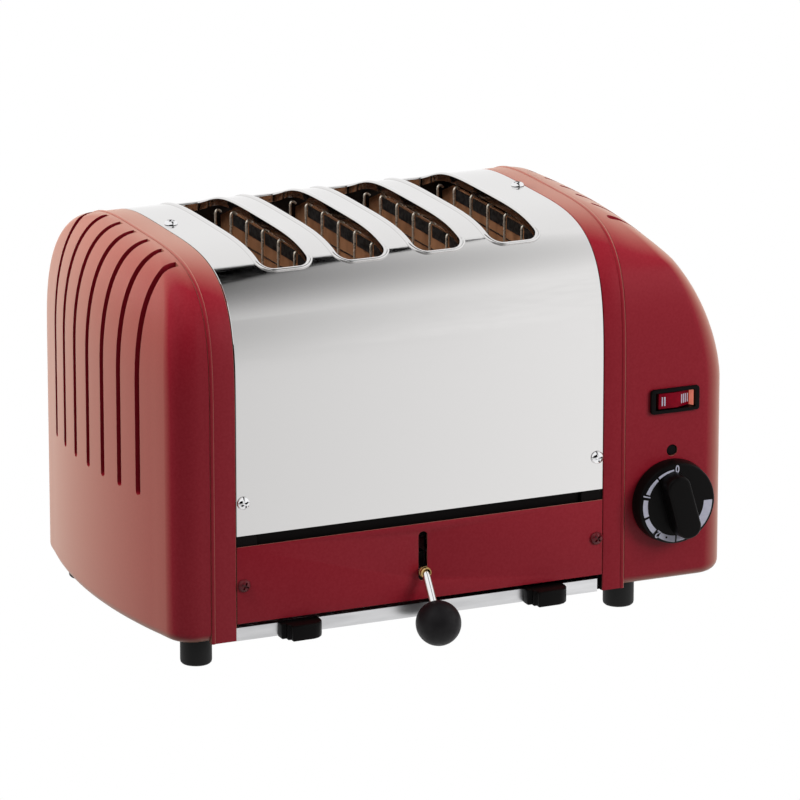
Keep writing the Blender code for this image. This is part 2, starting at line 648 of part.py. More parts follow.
def build_lifter():
    """Carriage, bread racks and lever; everything rides on one upright slide."""
    low, high = 47 * MM, 50 * MM
    slide = (LEVER_X, -88 * MM, COLLAR_Z)
    carriage = box("lift_carriage", (-108 * MM, -60 * MM, low), (66 * MM, -52 * MM, high),
                   DARK_SHEET)
    joins = [box("carriage_rear_bar", (-108 * MM, 52 * MM, low), (66 * MM, 60 * MM, high), None),
             box("carriage_spine", (-24 * MM, -93 * MM, low), (-16 * MM, 58 * MM, high), None),
             box("carriage_tongue", (-24 * MM, -94 * MM, 35 * MM), (-16 * MM, -92 * MM, high), None)]
    for i, x in enumerate(SLOT_CENTRES):
        joins.append(box(f"rack_{i + 1}_shelf", (x - 6 * MM, -70 * MM, 64 * MM),
                         (x + 6 * MM, 70 * MM, 65.6 * MM), None))
        for y in (-56 * MM, 56 * MM):
            joins.append(box(f"rack_{i + 1}_post_{y:+.3f}", (x - 2 * MM, y - 2 * MM, low + 1 * MM),
                             (x + 2 * MM, y + 2 * MM, 65 * MM), None))
    for piece in joins:
        add_boolean(carriage, as_cutter(piece), "UNION")
    for i, x in enumerate((-30 * MM, -10 * MM)):
        cylinder(f"guide_rod_{i + 1}", 2 * MM, 88 * MM, (x, -86 * MM, 68 * MM), "Z", CHROME, 20)

    collar_y = -BODY_HALF_DEPTH - 0.4 * MM
    profile = [(0, 4.6 * MM), (3.0 * MM, 4.6 * MM), (3.5 * MM, 4.0 * MM), (3.5 * MM, 0.5 * MM),
               (3.1 * MM, 0), (0, 0)]
    collar = turned("lever_collar", profile, (LEVER_X, collar_y, COLLAR_Z),
                    (math.pi / 2, 0, 0), BRASS, 20)
    smooth(collar)
    start = Vector((LEVER_X, -94.3 * MM, COLLAR_Z))
    bend = Vector((LEVER_X, -105.8 * MM, COLLAR_Z - 0.8 * MM))
    ball = Vector(BALL_CENTRE)
    tip = ball + (bend - ball).normalized() * 7 * MM
    lever = rod("lever_rod", [start, Vector((LEVER_X, -102.5 * MM, COLLAR_Z)), bend, tip],
                2.3 * MM, CHROME, 3)
    smooth(lever)
    core = rod("collar_bore", [start, Vector((LEVER_X, -102.5 * MM, COLLAR_Z)), bend, tip],
               2.6 * MM, None, 3)
    socket = rod("ball_bore", [bend, ball + (bend - ball).normalized() * 6.7 * MM],
                 2.6 * MM, None, 3)
    add_boolean(collar, as_cutter(core))
    bm = bmesh.new()
    bmesh.ops.create_uvsphere(bm, u_segments=20, v_segments=12, radius=BALL_RADIUS)
    knob = add_object("lever_ball", mesh_from(bm, "lever_ball"), BLACK)
    knob.location = BALL_CENTRE
    add_boolean(knob, as_cutter(socket))
    smooth(knob)
    return slide


# ---- controls -------------------------------------------------------------


def build_timer():
    """Dial with a blade grip on a shaft, and the clockwork box behind the panel."""
    front = -BODY_HALF_DEPTH
    centre = Vector((KNOB_X, front - GAP, KNOB_Z))
    facing = (math.pi / 2, 0, 0)
    skirt = [(0, KNOB_SKIRT), (22.6 * MM, KNOB_SKIRT), (23.5 * MM, 8.2 * MM),
             (KNOB_RADIUS, 0.8 * MM), (KNOB_RADIUS, 0), (0, 0)]
    knob = turned("timer_knob", skirt, centre, facing, BLACK, 36)
    blade = rounded_rectangle(7.0 * MM, 19.5 * MM, 6.5 * MM)
    grip = extrude_outline("knob_grip", blade, KNOB_SKIRT - 1 * MM, 19 * MM, "Z", BLACK)
    bevel(grip, 1.5 * MM, 2)
    grip.location = centre
    grip.rotation_euler = (math.pi / 2, math.radians(-16), 0)
    add_boolean(knob, as_cutter(grip), "UNION")
    bore = cylinder("knob_bore", 3.3 * MM, 10 * MM, centre, "Y", None, 24)
    add_boolean(knob, as_cutter(bore))
    smooth(knob)
    shaft = cylinder("timer_shaft", 3.0 * MM, 14 * MM, centre + Vector((0, 2.5 * MM, 0)), "Y",
                     CHROME, 24)
    shaft_back = shaft.location.y + 7 * MM
    body = box("timer_body", (KNOB_X - 22 * MM, shaft_back + GAP, KNOB_Z - 26 * MM),
               (KNOB_X + 22 * MM, shaft_back + 38 * MM, KNOB_Z + 26 * MM), DARK_SHEET)
    bevel(body, 2 * MM)


def build_switch():
    """Two-position rocker in a bezel; it tips about an upright pin."""
    front = -BODY_HALF_DEPTH
    outline = [(SWITCH_X + a, SWITCH_Z + b) for a, b in rounded_rectangle(15.2 * MM, 7.2 * MM, 2 * MM)]
    bezel = extrude_outline("switch_housing", outline, front - 2.3 * MM, front - GAP, "Y", BLACK)
    back = box("switch_back", (SWITCH_X - 13 * MM, front - 1 * MM, SWITCH_Z - 5.4 * MM),
               (SWITCH_X + 13 * MM, front + 20 * MM, SWITCH_Z + 5.4 * MM), None)
    window = box("switch_window", (SWITCH_X - 11.4 * MM, front - 5 * MM, SWITCH_Z - 4.8 * MM),
                 (SWITCH_X + 11.4 * MM, front + 9 * MM, SWITCH_Z + 4.8 * MM), None)
    add_boolean(bezel, as_cutter(back), "UNION")
    add_boolean(bezel, as_cutter(window))
    pivot = (SWITCH_X, front + 2.5 * MM, SWITCH_Z)
    tilt = math.radians(9)
    profile = [(-10.9, -1.8), (0, -4.0), (10.9, -1.8), (10.4, 1.6), (-10.4, 1.6)]
    rocker = extrude_outline("rocker_switch", [(a * MM, (b - 0.6) * MM) for a, b in profile],
                             -4.5 * MM, 4.5 * MM, "Z", RED_LENS)
    rocker.location = pivot
    rocker.rotation_euler = (0, 0, tilt)
    disc = [(0, 0.8 * MM), (3.1 * MM, 0.8 * MM), (3.1 * MM, 0), (0, 0)]
    smooth(turned("dial_index_plug", disc, (134.2 * MM, front + 1.2 * MM, 92.5 * MM),
                  (math.pi / 2, 0, 0), BLACK, 24))


def build_inlet():
    """The bush in the back of the right cap where a lead would enter."""
    profile = [(4.2 * MM, 3 * MM), (8.4 * MM, 3 * MM), (9.0 * MM, 2.4 * MM), (9.0 * MM, GAP),
               (5.9 * MM, GAP), (5.9 * MM, -5 * MM), (4.2 * MM, -5 * MM)]
    smooth(turned("inlet_bush", profile, (140 * MM, BODY_HALF_DEPTH, 40 * MM),
                  (-math.pi / 2, 0, 0), BLACK, 24, ring=True))


# ---- screws ---------------------------------------------------------------


def screw_places():
    """Name, head seat and outward direction of every visible screw."""
    places = []
    for side, sign in (("front", -1), ("rear", 1)):
        for end, x in (("left", -128.2 * MM), ("right", 87.2 * MM)):
            for row, z in (("upper", 94.0 * MM), ("lower", 46.5 * MM)):
                places.append((f"{side}_{row}_screw_{end}", (x, sign * BODY_HALF_DEPTH, z),
                               sign, ENAMEL if row == "lower" else CHROME))
    for end, x in (("left", -126.2 * MM), ("right", 87.2 * MM)):
        places.append((f"top_screw_{end}", (x, TOP_SCREW_Y, BODY_TOP), 0, CHROME))
    return places


def build_screws():
    """Pan-head screws with a driver slot, each through sheet and frame ledge."""
    panels = [bpy.data.objects[name] for name in
              ("body_panel", "left_end_frame", "right_end_frame", "front_lower_cover",
               "rear_lower_cover")]
    profile = [(0, 2.3 * MM), (2.3 * MM, 2.0 * MM), (3.8 * MM, 0.5 * MM),
               (3.8 * MM, 0.25 * MM), (1.5 * MM, 0.25 * MM), (1.5 * MM, -6 * MM), (0, -6 * MM)]
    for name, place, sign, look in screw_places():
        turn = (0, 0, 0) if sign == 0 else (math.pi / 2 * (1 if sign < 0 else -1), 0, 0)
        screw = turned(name, profile, place, turn, look, 10)
        recess = box(f"{name}_recess", (-0.4 * MM, -1.9 * MM, 1.2 * MM),
                     (0.4 * MM, 1.9 * MM, 4 * MM), None)
        recess.location, recess.rotation_euler = place, turn
        add_boolean(screw, as_cutter(recess))
        smooth(screw)
        axis = "Z" if sign == 0 else "Y"
        hole = as_cutter(cylinder(f"{name}_hole", 1.8 * MM, 20 * MM, place, axis, None, 16))
        for panel in panels:
            if touches(panel.name, place):
                add_boolean(panel, hole)


def touches(panel_name, place):
    """Whether a screw at this place passes through the named sheet or frame."""
    x, y, z = place
    if panel_name == "body_panel":
        return z > PANEL_BOTTOM
    if panel_name.endswith("_end_frame"):
        return (x < 0) == panel_name.startswith("left")
    return z < COVER_TOP and (y < 0) == panel_name.startswith("front")


build_body_panel()
build_end_frames()
build_lower_covers()
build_end_caps()
build_base()
build_crumb_tray()
build_elements()
build_guards()
build_chamber_walls()
build_lifter()
build_timer()
build_switch()
build_inlet()
build_screws()
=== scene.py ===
"""Looks of the four-slot pop-up toaster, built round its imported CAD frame.

Lengths named with MM are in the toaster's own layout, whose front-to-back
middle lies SHIFT behind the row's origin; every piece is moved by SHIFT.
"""

import math

import bmesh
import bpy
from mathutils import Matrix, Vector


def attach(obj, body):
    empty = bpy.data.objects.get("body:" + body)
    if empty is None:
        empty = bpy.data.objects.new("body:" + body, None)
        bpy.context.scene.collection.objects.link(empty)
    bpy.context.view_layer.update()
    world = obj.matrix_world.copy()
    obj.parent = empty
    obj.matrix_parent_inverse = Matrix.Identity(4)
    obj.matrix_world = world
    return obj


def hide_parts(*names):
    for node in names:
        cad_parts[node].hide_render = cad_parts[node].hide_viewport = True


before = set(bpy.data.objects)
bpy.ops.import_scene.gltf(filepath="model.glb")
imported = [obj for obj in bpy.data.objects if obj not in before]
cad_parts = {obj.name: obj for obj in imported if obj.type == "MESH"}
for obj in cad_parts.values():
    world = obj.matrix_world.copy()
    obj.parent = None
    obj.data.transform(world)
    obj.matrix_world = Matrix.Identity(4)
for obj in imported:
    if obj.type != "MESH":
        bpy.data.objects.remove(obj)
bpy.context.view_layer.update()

MM = 0.001
SHIFT = Vector((0, 15.45 * MM, 0))

# ---- sizes shared with the CAD ----
HALF_DEPTH = 101.7 * MM
TOP = 226.5 * MM
SHOULDER = 120.7 * MM
ARCH_Y, ARCH_Z = 3.888, 4.461
LEFT_SEAM, LEFT_BAND = -147.8 * MM, -132.6 * MM
RIGHT_BAND, RIGHT_SEAM = 91.2 * MM, 104.7 * MM
END_X = 180.0 * MM
END_FACE_RADIUS = 372.0 * MM
CORNER_RADIUS = 17.0 * MM
CAP_WALL = 2.6 * MM
CAP_BOTTOM, CAP_FOOT_RADIUS = 15.5 * MM, 6.5 * MM
CROWN_LOW, CROWN_HIGH = 200.0 * MM, 240.0 * MM
LEFT_FALL, RIGHT_FALL = (2.35, 155.0 * MM), (1.6, 130.0 * MM)
LOUVRE_LEFT_START, LOUVRE_RIGHT_START = 156.0 * MM, 111.0 * MM
PANEL_BOTTOM, PANEL_THICK = 75.1 * MM, 0.9 * MM
COVER_TOP, COVER_BOTTOM = 68.7 * MM, 24.5 * MM
FRAME_BOTTOM, FRAME_THICK, FRAME_FLANGE = 14.8 * MM, 3.2 * MM, 13.0 * MM
SLOT_CENTRES = (-90.2 * MM, -43.9 * MM, 2.4 * MM, 48.8 * MM)
SLOT_HALF_WIDTH, SLOT_HALF_LENGTH, SLOT_CORNER = 14.2 * MM, 75.0 * MM, 7.0 * MM
RIM_RADIUS, RIM_HEIGHT, RIM_LEG = 1.6 * MM, 0.8 * MM, 4.0 * MM
BEAD_HALF, BEAD_PROUD = 1.1 * MM, 0.6 * MM
ELEMENT_BOTTOM, ELEMENT_TOP = 74.0 * MM, 215.5 * MM
GUARD_REACH, GUARD_DROP = 15.5 * MM, 6.3 * MM
ELEMENT_CENTRES = (-113.4 * MM, -67.0 * MM, -20.7 * MM, 25.7 * MM, 72.1 * MM)
LOUVRE_PITCH, LOUVRE_WIDTH, LOUVRE_BOTTOM = 20.74 * MM, 4.9 * MM, 93.1 * MM
SLIT_TOP, SLIT_OUT = 235.0 * MM, 210.0 * MM
SLIT_OVER_START, SLIT_DOWN_START = 145.0 * MM, 150.0 * MM
SEAM_GAP = 0.15 * MM
END_PLATE_Y, END_PLATE_Z = (73.0 * MM, 73.8 * MM), (203.0 * MM, 217.5 * MM)
LEVER_SLOT_HALF_WIDTH, LEVER_SLOT_HALF_HEIGHT, LEVER_SLOT_Z = 2.7 * MM, 14.3 * MM, 49.7 * MM
LEVER_X, COLLAR_Z, TOP_SCREW_Y = -20.0 * MM, 41.0 * MM, 6.0 * MM
BALL_CENTRE, BALL_RADIUS = Vector((LEVER_X, -122.8 * MM, 16.6 * MM)), 12.8 * MM
KNOB_CENTRE = Vector((133.5 * MM, -HALF_DEPTH - 0.3 * MM, 63.5 * MM))
KNOB_RADIUS, KNOB_FACE_RADIUS, KNOB_SKIRT = 24.4 * MM, 22.6 * MM, 9.0 * MM
GRIP_LEAN, GRIP_TOP = math.radians(-16), 19.0 * MM
SWITCH_CENTRE = Vector((135.0 * MM, -HALF_DEPTH, 122.4 * MM))
INDEX_CENTRE = Vector((134.2 * MM, -HALF_DEPTH, 92.5 * MM))
ROCKER_TILT = math.radians(9)
BEZEL_HALF_WIDTH, BEZEL_HALF_HEIGHT = 15.2 * MM, 7.2 * MM
WINDOW_HALF_WIDTH, WINDOW_HALF_HEIGHT = 12.4 * MM, 5.1 * MM
RECESS_HALF_LENGTH, RECESS_HALF_WIDTH = 2.3 * MM, 0.55 * MM
TRAY_BOTTOM, TRAY_TOP = 14.0 * MM, 21.6 * MM
TRAY_LEFT, TRAY_RIGHT = -130.3 * MM, 88.9 * MM
TRAY_FRONT, TRAY_BACK = -HALF_DEPTH + 2.0 * MM, 88.0 * MM
ELEMENT_REACH, ELEMENT_HALF_THICK = 75.7 * MM, 0.6 * MM
GAP = 0.3 * MM

# ---- camera ----
CAMERA_PLACE = Vector((-1428.46, -3242.95, 1146.19)) * MM
CAMERA_AIM = Vector((11.07, 0.0, 109.47)) * MM
FOCAL_LENGTH, SENSOR_WIDTH, CLIP_END = 291.33, 36.0, 50.0


def add_object(name, data):
    made = bpy.data.objects.new(name, data)
    bpy.context.scene.collection.objects.link(made)
    return made


def make_camera():
    data = bpy.data.cameras.new("product_camera")
    data.lens = FOCAL_LENGTH
    data.sensor_width = SENSOR_WIDTH
    data.clip_end = CLIP_END
    camera = add_object("product_camera", data)
    camera.location = CAMERA_PLACE + SHIFT
    camera.rotation_euler = (CAMERA_AIM - CAMERA_PLACE).to_track_quat("-Z", "Y").to_euler()
    bpy.context.scene.camera = camera


make_camera()

# ---- materials ----


class Look:
    """A Principled material with helpers for its procedural grain."""

    def __init__(self, name, colour, roughness, metallic=0.0, **sockets):
        self.material = bpy.data.materials.new(name)
        self.material.use_nodes = True
        self.nodes = self.material.node_tree.nodes
        self.links = self.material.node_tree.links
        self.shader = self.nodes["Principled BSDF"]
        self.shader.inputs["Base Color"].default_value = (*colour, 1.0)
        self.shader.inputs["Roughness"].default_value = roughness
        self.shader.inputs["Metallic"].default_value = metallic
        for socket, value in sockets.items():
            self.shader.inputs[socket.replace("_", " ")].default_value = value
        self.place = self.nodes.new("ShaderNodeTexCoord")
        self.colour = colour

    def noise(self, scale, stretch):
        mapping = self.nodes.new("ShaderNodeMapping")
        mapping.inputs["Scale"].default_value = stretch
        self.links.new(self.place.outputs["Object"], mapping.inputs["Vector"])
        texture = self.nodes.new("ShaderNodeTexNoise")
        texture.inputs["Scale"].default_value = scale
        texture.inputs["Detail"].default_value = 4.0
        self.links.new(mapping.outputs["Vector"], texture.inputs["Vector"])
        return texture.outputs["Fac"]

    def ramp(self, source, low, high, start=0.35, stop=0.65):
        """Two colours, or two plain numbers, blended between start and stop of the source."""
        node = self.nodes.new("ShaderNodeValToRGB")
        for element, place, value in zip(node.color_ramp.elements, (start, stop), (low, high)):
            element.position = place
            element.color = (*value, 1.0) if isinstance(value, tuple) else (value,) * 3 + (1.0,)
        self.links.new(source, node.inputs["Fac"])
        return node.outputs["Color"]

    def vary_colour(self, scale, other, stretch=(1, 1, 1), start=0.35, stop=0.65):
        shade = self.ramp(self.noise(scale, stretch), self.colour, other, start, stop)
        self.links.new(shade, self.shader.inputs["Base Color"])
        return self

    def vary_roughness(self, scale, low, high, stretch=(1, 1, 1)):
        shade = self.ramp(self.noise(scale, stretch), low, high)
        self.links.new(shade, self.shader.inputs["Roughness"])
        return self

    def painted_sheen_at_edges(self, sheen_colour, start, stop):
        """Painted sheen: blends toward a paler colour where the surface turns away from the eye, in
        place of grazing reflection.
        """
        shaded = self.shader.inputs["Base Color"].links[0].from_socket
        edge = self.nodes.new("ShaderNodeLayerWeight")
        edge.inputs["Blend"].default_value = 0.5
        mix = self.nodes.new("ShaderNodeMixRGB")
        self.links.new(self.ramp(edge.outputs["Facing"], 0.0, 1.0, start, stop), mix.inputs["Fac"])
        self.links.new(shaded, mix.inputs["Color1"])
        mix.inputs["Color2"].default_value = (*sheen_colour, 1.0)
        self.links.new(mix.outputs["Color"], self.shader.inputs["Base Color"])
        return self

    def grain(self, scale, strength, distance, stretch=(1, 1, 1)):
        bump = self.nodes.new("ShaderNodeBump")
        bump.inputs["Strength"].default_value = strength
        bump.inputs["Distance"].default_value = distance
        self.links.new(self.noise(scale, stretch), bump.inputs["Height"])
        self.links.new(bump.outputs["Normal"], self.shader.inputs["Normal"])
        return self


STEEL = Look("polished_steel", (0.745, 0.735, 0.730), 0.09, 1.0)
STEEL.vary_roughness(60, 0.07, 0.12, (1, 8, 8)).grain(900, 0.02, 0.00002, (0.15, 1, 1))
ENAMEL = Look("red_enamel", (0.300, 0.010, 0.022), 0.36, Specular_IOR_Level=0.16)
ENAMEL.vary_colour(700, (0.330, 0.015, 0.028)).grain(1400, 0.16, 0.00005)
# Painted sheen: the enamel turns pale beige toward its grazing edges.
ENAMEL.painted_sheen_at_edges((0.52, 0.27, 0.19), 0.22, 0.92)
# Painted shade: a darker copy of the red enamel, for the small lower screw heads.
SHADED_ENAMEL = Look("red_enamel_painted_shade", (0.130, 0.006, 0.012), 0.3, Specular_IOR_Level=0.3)
SHADED_ENAMEL.vary_colour(700, (0.150, 0.008, 0.015)).grain(1400, 0.16, 0.00005)
CHROME = Look("chrome_plate", (0.86, 0.86, 0.87), 0.07, 1.0).vary_roughness(400, 0.05, 0.12)
WIRE = Look("guard_wire", (0.82, 0.74, 0.62), 0.30, 0.6).vary_roughness(300, 0.18, 0.35)
BRASS = Look("brass", (0.62, 0.42, 0.17), 0.28, 1.0)
BRASS.vary_colour(500, (0.50, 0.33, 0.13)).grain(2500, 0.1, 0.00003)
BLACK = Look("black_phenolic", (0.003, 0.0025, 0.0025), 0.34, Specular_IOR_Level=0.07)
BLACK.vary_roughness(500, 0.28, 0.42).grain(1800, 0.1, 0.00003)
BALL_LOOK = Look("black_ball", (0.006, 0.005, 0.006), 0.5, Specular_IOR_Level=0.2)
BALL_LOOK.vary_roughness(300, 0.42, 0.58).grain(2200, 0.15, 0.00004)
RUBBER = Look("black_rubber", (0.008, 0.008, 0.008), 0.55, Specular_IOR_Level=0.2)
RUBBER.grain(1500, 0.15, 0.00004)
ALUMINIUM = Look("tray_aluminium", (0.72, 0.72, 0.73), 0.30, 1.0)
ALUMINIUM.vary_colour(90, (0.60, 0.60, 0.61), (0.3, 1, 2)).grain(700, 0.12, 0.00003, (0.1, 1, 1))
# Painted shade: sheet steel made very dark for the chamber walls and works deep inside.
SHADED_SHEET = Look("dark_sheet_steel", (0.045, 0.043, 0.041), 0.42, 0.7)
SHADED_SHEET.vary_colour(120, (0.020, 0.019, 0.018)).vary_roughness(80, 0.3, 0.6)
# Painted shade: near-black for hollows, slits, recesses and gaps where shade falls.
SHADOW_BLACK = Look("shadow_black", (0.004, 0.003, 0.003), 0.7, Specular_IOR_Level=0.1)
SHADOW_BLACK.grain(600, 0.1, 0.00005)
MICA = Look("mica_board", (0.400, 0.190, 0.095), 0.55, Specular_IOR_Level=0.3)
MICA.vary_colour(70, (0.290, 0.130, 0.062), (1, 2, 0.5)).grain(400, 0.25, 0.0001)
RIBBON = Look("heater_ribbon", (0.020, 0.016, 0.014), 0.45, 0.6).vary_roughness(200, 0.35, 0.6)
SCORCH = Look("scorched_strip", (0.050, 0.046, 0.044), 0.5, 0.4)
SCORCH.vary_colour(450, (0.010, 0.009, 0.009), (1, 1, 1), 0.45, 0.55).grain(500, 0.5, 0.0003)
LENS = Look("red_lens", (0.30, 0.001, 0.014), 0.22, Specular_IOR_Level=0.06)
LENS.vary_colour(300, (0.22, 0.001, 0.012))
# Painted highlight: the ridge is pale and glows, in place of light catching its slope.
RIDGE_HIGHLIGHT = Look("lens_ridge_painted_highlight", (0.80, 0.26, 0.18), 0.3, Emission_Color=(0.9, 0.24, 0.16, 1.0),
             Emission_Strength=0.45)
RIDGE_HIGHLIGHT.vary_colour(400, (0.70, 0.20, 0.14))
MARKING = Look("white_marking", (0.62, 0.62, 0.74), 0.45, Specular_IOR_Level=0.3)
MARKING.vary_colour(600, (0.56, 0.56, 0.68))

# ---- building helpers ----


def painted(obj, look):
    obj.data.materials.clear()
    obj.data.materials.append(look.material)
    return obj


def finish_joined(obj, body, replaced, sharp=35):
    """Shading, body and replaced CAD nodes for a piece that carries its materials."""
    obj.data.shade_smooth()
    obj.data.set_sharp_from_angle(angle=math.radians(sharp))
    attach(obj, body)
    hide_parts(*replaced)


def finish_piece(obj, look, body, replaced, sharp=32):
    """The same for a piece of one look."""
    finish_joined(painted(obj, look), body, replaced, sharp)


def new_object(name, bm):
    bmesh.ops.recalc_face_normals(bm, faces=bm.faces[:])
    mesh = bpy.data.meshes.new(name)
    bm.to_mesh(mesh)
    bm.free()
    return add_object(name, mesh)


def bake(obj):
    """Works out the modifiers and the placing, and leaves a plain mesh."""
    bpy.context.view_layer.update()
    view = bpy.context.evaluated_depsgraph_get()
    mesh = bpy.data.meshes.new_from_object(obj.evaluated_get(view))
    mesh.transform(obj.matrix_world)
    name = obj.name
    bpy.data.objects.remove(obj, do_unlink=True)
    return add_object(name, mesh)


def cut(obj, cutters, operation="DIFFERENCE"):
    for cutter in cutters:
        step = obj.modifiers.new("cut", "BOOLEAN")
        step.operation = operation
        step.object = cutter
        step.solver = "EXACT"
    made = bake(obj)
    for cutter in cutters:
        bpy.data.objects.remove(cutter, do_unlink=True)
    return made


def round_edges(obj, width, segments=3, angle=35):
    step = obj.modifiers.new("round", "BEVEL")
    step.width = width
    step.segments = segments
    step.limit_method = "ANGLE"
    step.angle_limit = math.radians(angle)
    step.harden_normals = False
    return bake(obj)


def box(name, low, high):
    low, high = Vector(low) + SHIFT, Vector(high) + SHIFT
    bm = bmesh.new()
    bmesh.ops.create_cube(bm, size=1.0)
    bmesh.ops.scale(bm, verts=bm.verts, vec=high - low)
    bmesh.ops.translate(bm, verts=bm.verts, vec=(low + high) / 2)
    return new_object(name, bm)


def prism(name, outline, low, high, axis):
    """A flat outline pushed along an axis; the outline lists the other two coordinates."""
    order = {"X": lambda a, b, c: (c, a, b),
             "Y": lambda a, b, c: (a, c, b),
             "Z": lambda a, b, c: (a, b, c)}[axis]
    bm = bmesh.new()
    face = bm.faces.new([bm.verts.new(Vector(order(a, b, low)) + SHIFT) for a, b in outline])
    grown = bmesh.ops.extrude_face_region(bm, geom=[face])
    moved = [item for item in grown["geom"] if isinstance(item, bmesh.types.BMVert)]
    bmesh.ops.translate(bm, verts=moved, vec=Vector(order(0, 0, high - low)))
    return new_object(name, bm)


def unshifted(obj):
    """Takes the row's shift back out of a shape that is turned and placed afterwards."""
    obj.data.transform(Matrix.Translation(-SHIFT))
    return obj


def in_mm(pairs):
    return [(a * MM, b * MM) for a, b in pairs]


def rounded_rectangle(half_width, half_height, radius, steps=8, centre=(0, 0)):
    """Outline points, from the right-hand side through the top, left and bottom corners."""
    points = []
    for quarter, (sx, sy) in enumerate(((1, 1), (-1, 1), (-1, -1), (1, -1))):
        cx, cy = sx * (half_width - radius), sy * (half_height - radius)
        for i in range(steps + 1):
            turn = (quarter + i / steps) * math.pi / 2
            points.append((centre[0] + cx + radius * math.cos(turn),
                           centre[1] + cy + radius * math.sin(turn)))
    return points


def turned(name, profile, centre, outward, steps=64):
    """A turned piece: (radius, height) points spun about an outward direction."""
    axis = Vector(outward).normalized()
    side = axis.orthogonal().normalized()
    other = axis.cross(side)
    bm = bmesh.new()
    rings = []
    for radius, height in profile:
        middle = Vector(centre) + SHIFT + axis * height
        if radius == 0:
            rings.append([bm.verts.new(middle)])
            continue
        rings.append([bm.verts.new(middle + radius * (side * math.cos(t) + other * math.sin(t)))
                      for t in (2 * math.pi * k / steps for k in range(steps))])
    for one, two in zip(rings, rings[1:]):
        for k in range(steps):
            n = (k + 1) % steps
            corners = [one[k % len(one)], one[n % len(one)], two[n % len(two)], two[k % len(two)]]
            unique = list(dict.fromkeys(corners))
            if len(unique) > 2:
                bm.faces.new(unique)
    return new_object(name, bm)


def tube(name, points, radius, sides=16, smooth=True):
    """A round wire through points, closed at both ends."""
    curve = bpy.data.curves.new(name, "CURVE")
    curve.dimensions = "3D"
    curve.bevel_depth = radius
    curve.bevel_resolution = max(sides // 4 - 1, 1)
    curve.resolution_u = 6
    curve.use_fill_caps = True
    line = curve.splines.new("NURBS" if smooth else "POLY")
    line.points.add(len(points) - 1)
    for point, place in zip(line.points, points):
        point.co = (*(Vector(place) + SHIFT), 1.0)
    if smooth:
        line.order_u = 3
        line.use_endpoint_u = True
    return bake(add_object(name, curve))


def join(name, pieces):
    """One object from several; each keeps its own faces and materials."""
    bm = bmesh.new()
    materials = []
    for piece in pieces:
        looks = list(piece.data.materials)
        materials += [look for look in looks if look not in materials]
        first = len(bm.faces)
        bm.from_mesh(piece.data)
        bm.faces.ensure_lookup_table()
        for face in bm.faces[first:]:
            face.material_index = materials.index(looks[face.material_index])
    mesh = bpy.data.meshes.new(name)
    bm.to_mesh(mesh)
    bm.free()
    for look in materials:
        mesh.materials.append(look)
    for piece in pieces:
        bpy.data.objects.remove(piece, do_unlink=True)
    return add_object(name, mesh)


# ---- the loaf section ----

ARCH_FINE, ARCH_COUNT, WALL_COUNT = 2880, 150, 4


def arch_point(angle, inset=0.0):
    """(y, z) on the rounded top; the angle runs from 0 at the front to pi at the back."""
    half, rise = HALF_DEPTH - inset, TOP - SHOULDER - inset
    across, up = math.cos(angle), abs(math.sin(angle))
    y = -math.copysign(abs(across) ** (2 / ARCH_Y), across) * half
    return y, SHOULDER + up ** (2 / ARCH_Z) * rise


def even_arch(count):
    """Angles that cut the arch into equal lengths."""
    fine = [math.pi * i / ARCH_FINE for i in range(ARCH_FINE + 1)]
    points = [Vector(arch_point(a)) for a in fine]
    run = [0.0]
    for before, after in zip(points, points[1:]):
        run.append(run[-1] + (after - before).length)
    angles, place = [], 0
    for i in range(count + 1):
        target = run[-1] * i / count
        while place < ARCH_FINE - 1 and run[place + 1] < target:
            place += 1
        span = run[place + 1] - run[place]
        angles.append(fine[place] + (fine[1] * (target - run[place]) / span if span else 0))
    angles[0], angles[-1] = 0.0, math.pi
    return angles


def loaf_path(bottom, inset):
    """Section points from the front bottom edge, over the top, to the back."""
    path = [(-HALF_DEPTH + inset, bottom + (SHOULDER - bottom) * i / WALL_COUNT)
            for i in range(WALL_COUNT)]
    path += [arch_point(angle, inset) for angle in even_arch(ARCH_COUNT)]
    return path + [(-y, z) for y, z in reversed(path[:WALL_COUNT])]


def sweep_over_loaf(name, section, bottom):
    """A closed band over the loaf; the section lists (x, depth below the skin)."""
    bm = bmesh.new()
    rails = [[bm.verts.new(Vector((x, y, z)) + SHIFT) for y, z in loaf_path(bottom, inset)]
             for x, inset in section]
    for one, two in zip(rails, rails[1:] + rails[:1]):
        for i in range(len(one) - 1):
            bm.faces.new((one[i], one[i + 1], two[i + 1], two[i]))
    bm.faces.new([rail[0] for rail in rails])
    bm.faces.new([rail[-1] for rail in reversed(rails)])
    return new_object(name, bm)


def crown_height(y):
    """Height of the rounded top at a place from front to back."""
    share = min(abs(y) / HALF_DEPTH, 0.9999) ** ARCH_Y
    return SHOULDER + (TOP - SHOULDER) * (1 - share) ** (1 / ARCH_Z)


# ---- polished steel panel ----


def rim_loop(centre_x):
    """Points round a slot on the crown, close together along the straight sides."""
    outline = rounded_rectangle(SLOT_HALF_WIDTH + RIM_RADIUS, SLOT_HALF_LENGTH + RIM_RADIUS,
                                SLOT_CORNER + RIM_RADIUS, steps=10)
    loop = []
    for (x1, y1), (x2, y2) in zip(outline, outline[1:] + outline[:1]):
        pieces = 1
        if abs(y2 - y1) > SLOT_HALF_LENGTH:
            pieces = 40
        elif abs(x2 - x1) > SLOT_HALF_WIDTH / 2:
            pieces = 6
        for i in range(pieces):
            part = i / pieces
            x, y = x1 + (x2 - x1) * part, y1 + (y2 - y1) * part
            loop.append(Vector((centre_x + x, y, crown_height(y))))
    return loop


def rim_profile():
    """Low bead with a leg that turns down into the slot, as (outward, up) pairs."""
    profile = []
    for degrees in range(200, -81, -20):
        turn = math.radians(degrees)
        profile.append((RIM_RADIUS * math.cos(turn), RIM_HEIGHT * math.sin(turn)))
    return profile + [(-0.9 * MM, -1.2 * MM), (-0.9 * MM, -RIM_LEG), (-1.6 * MM, -RIM_LEG)]


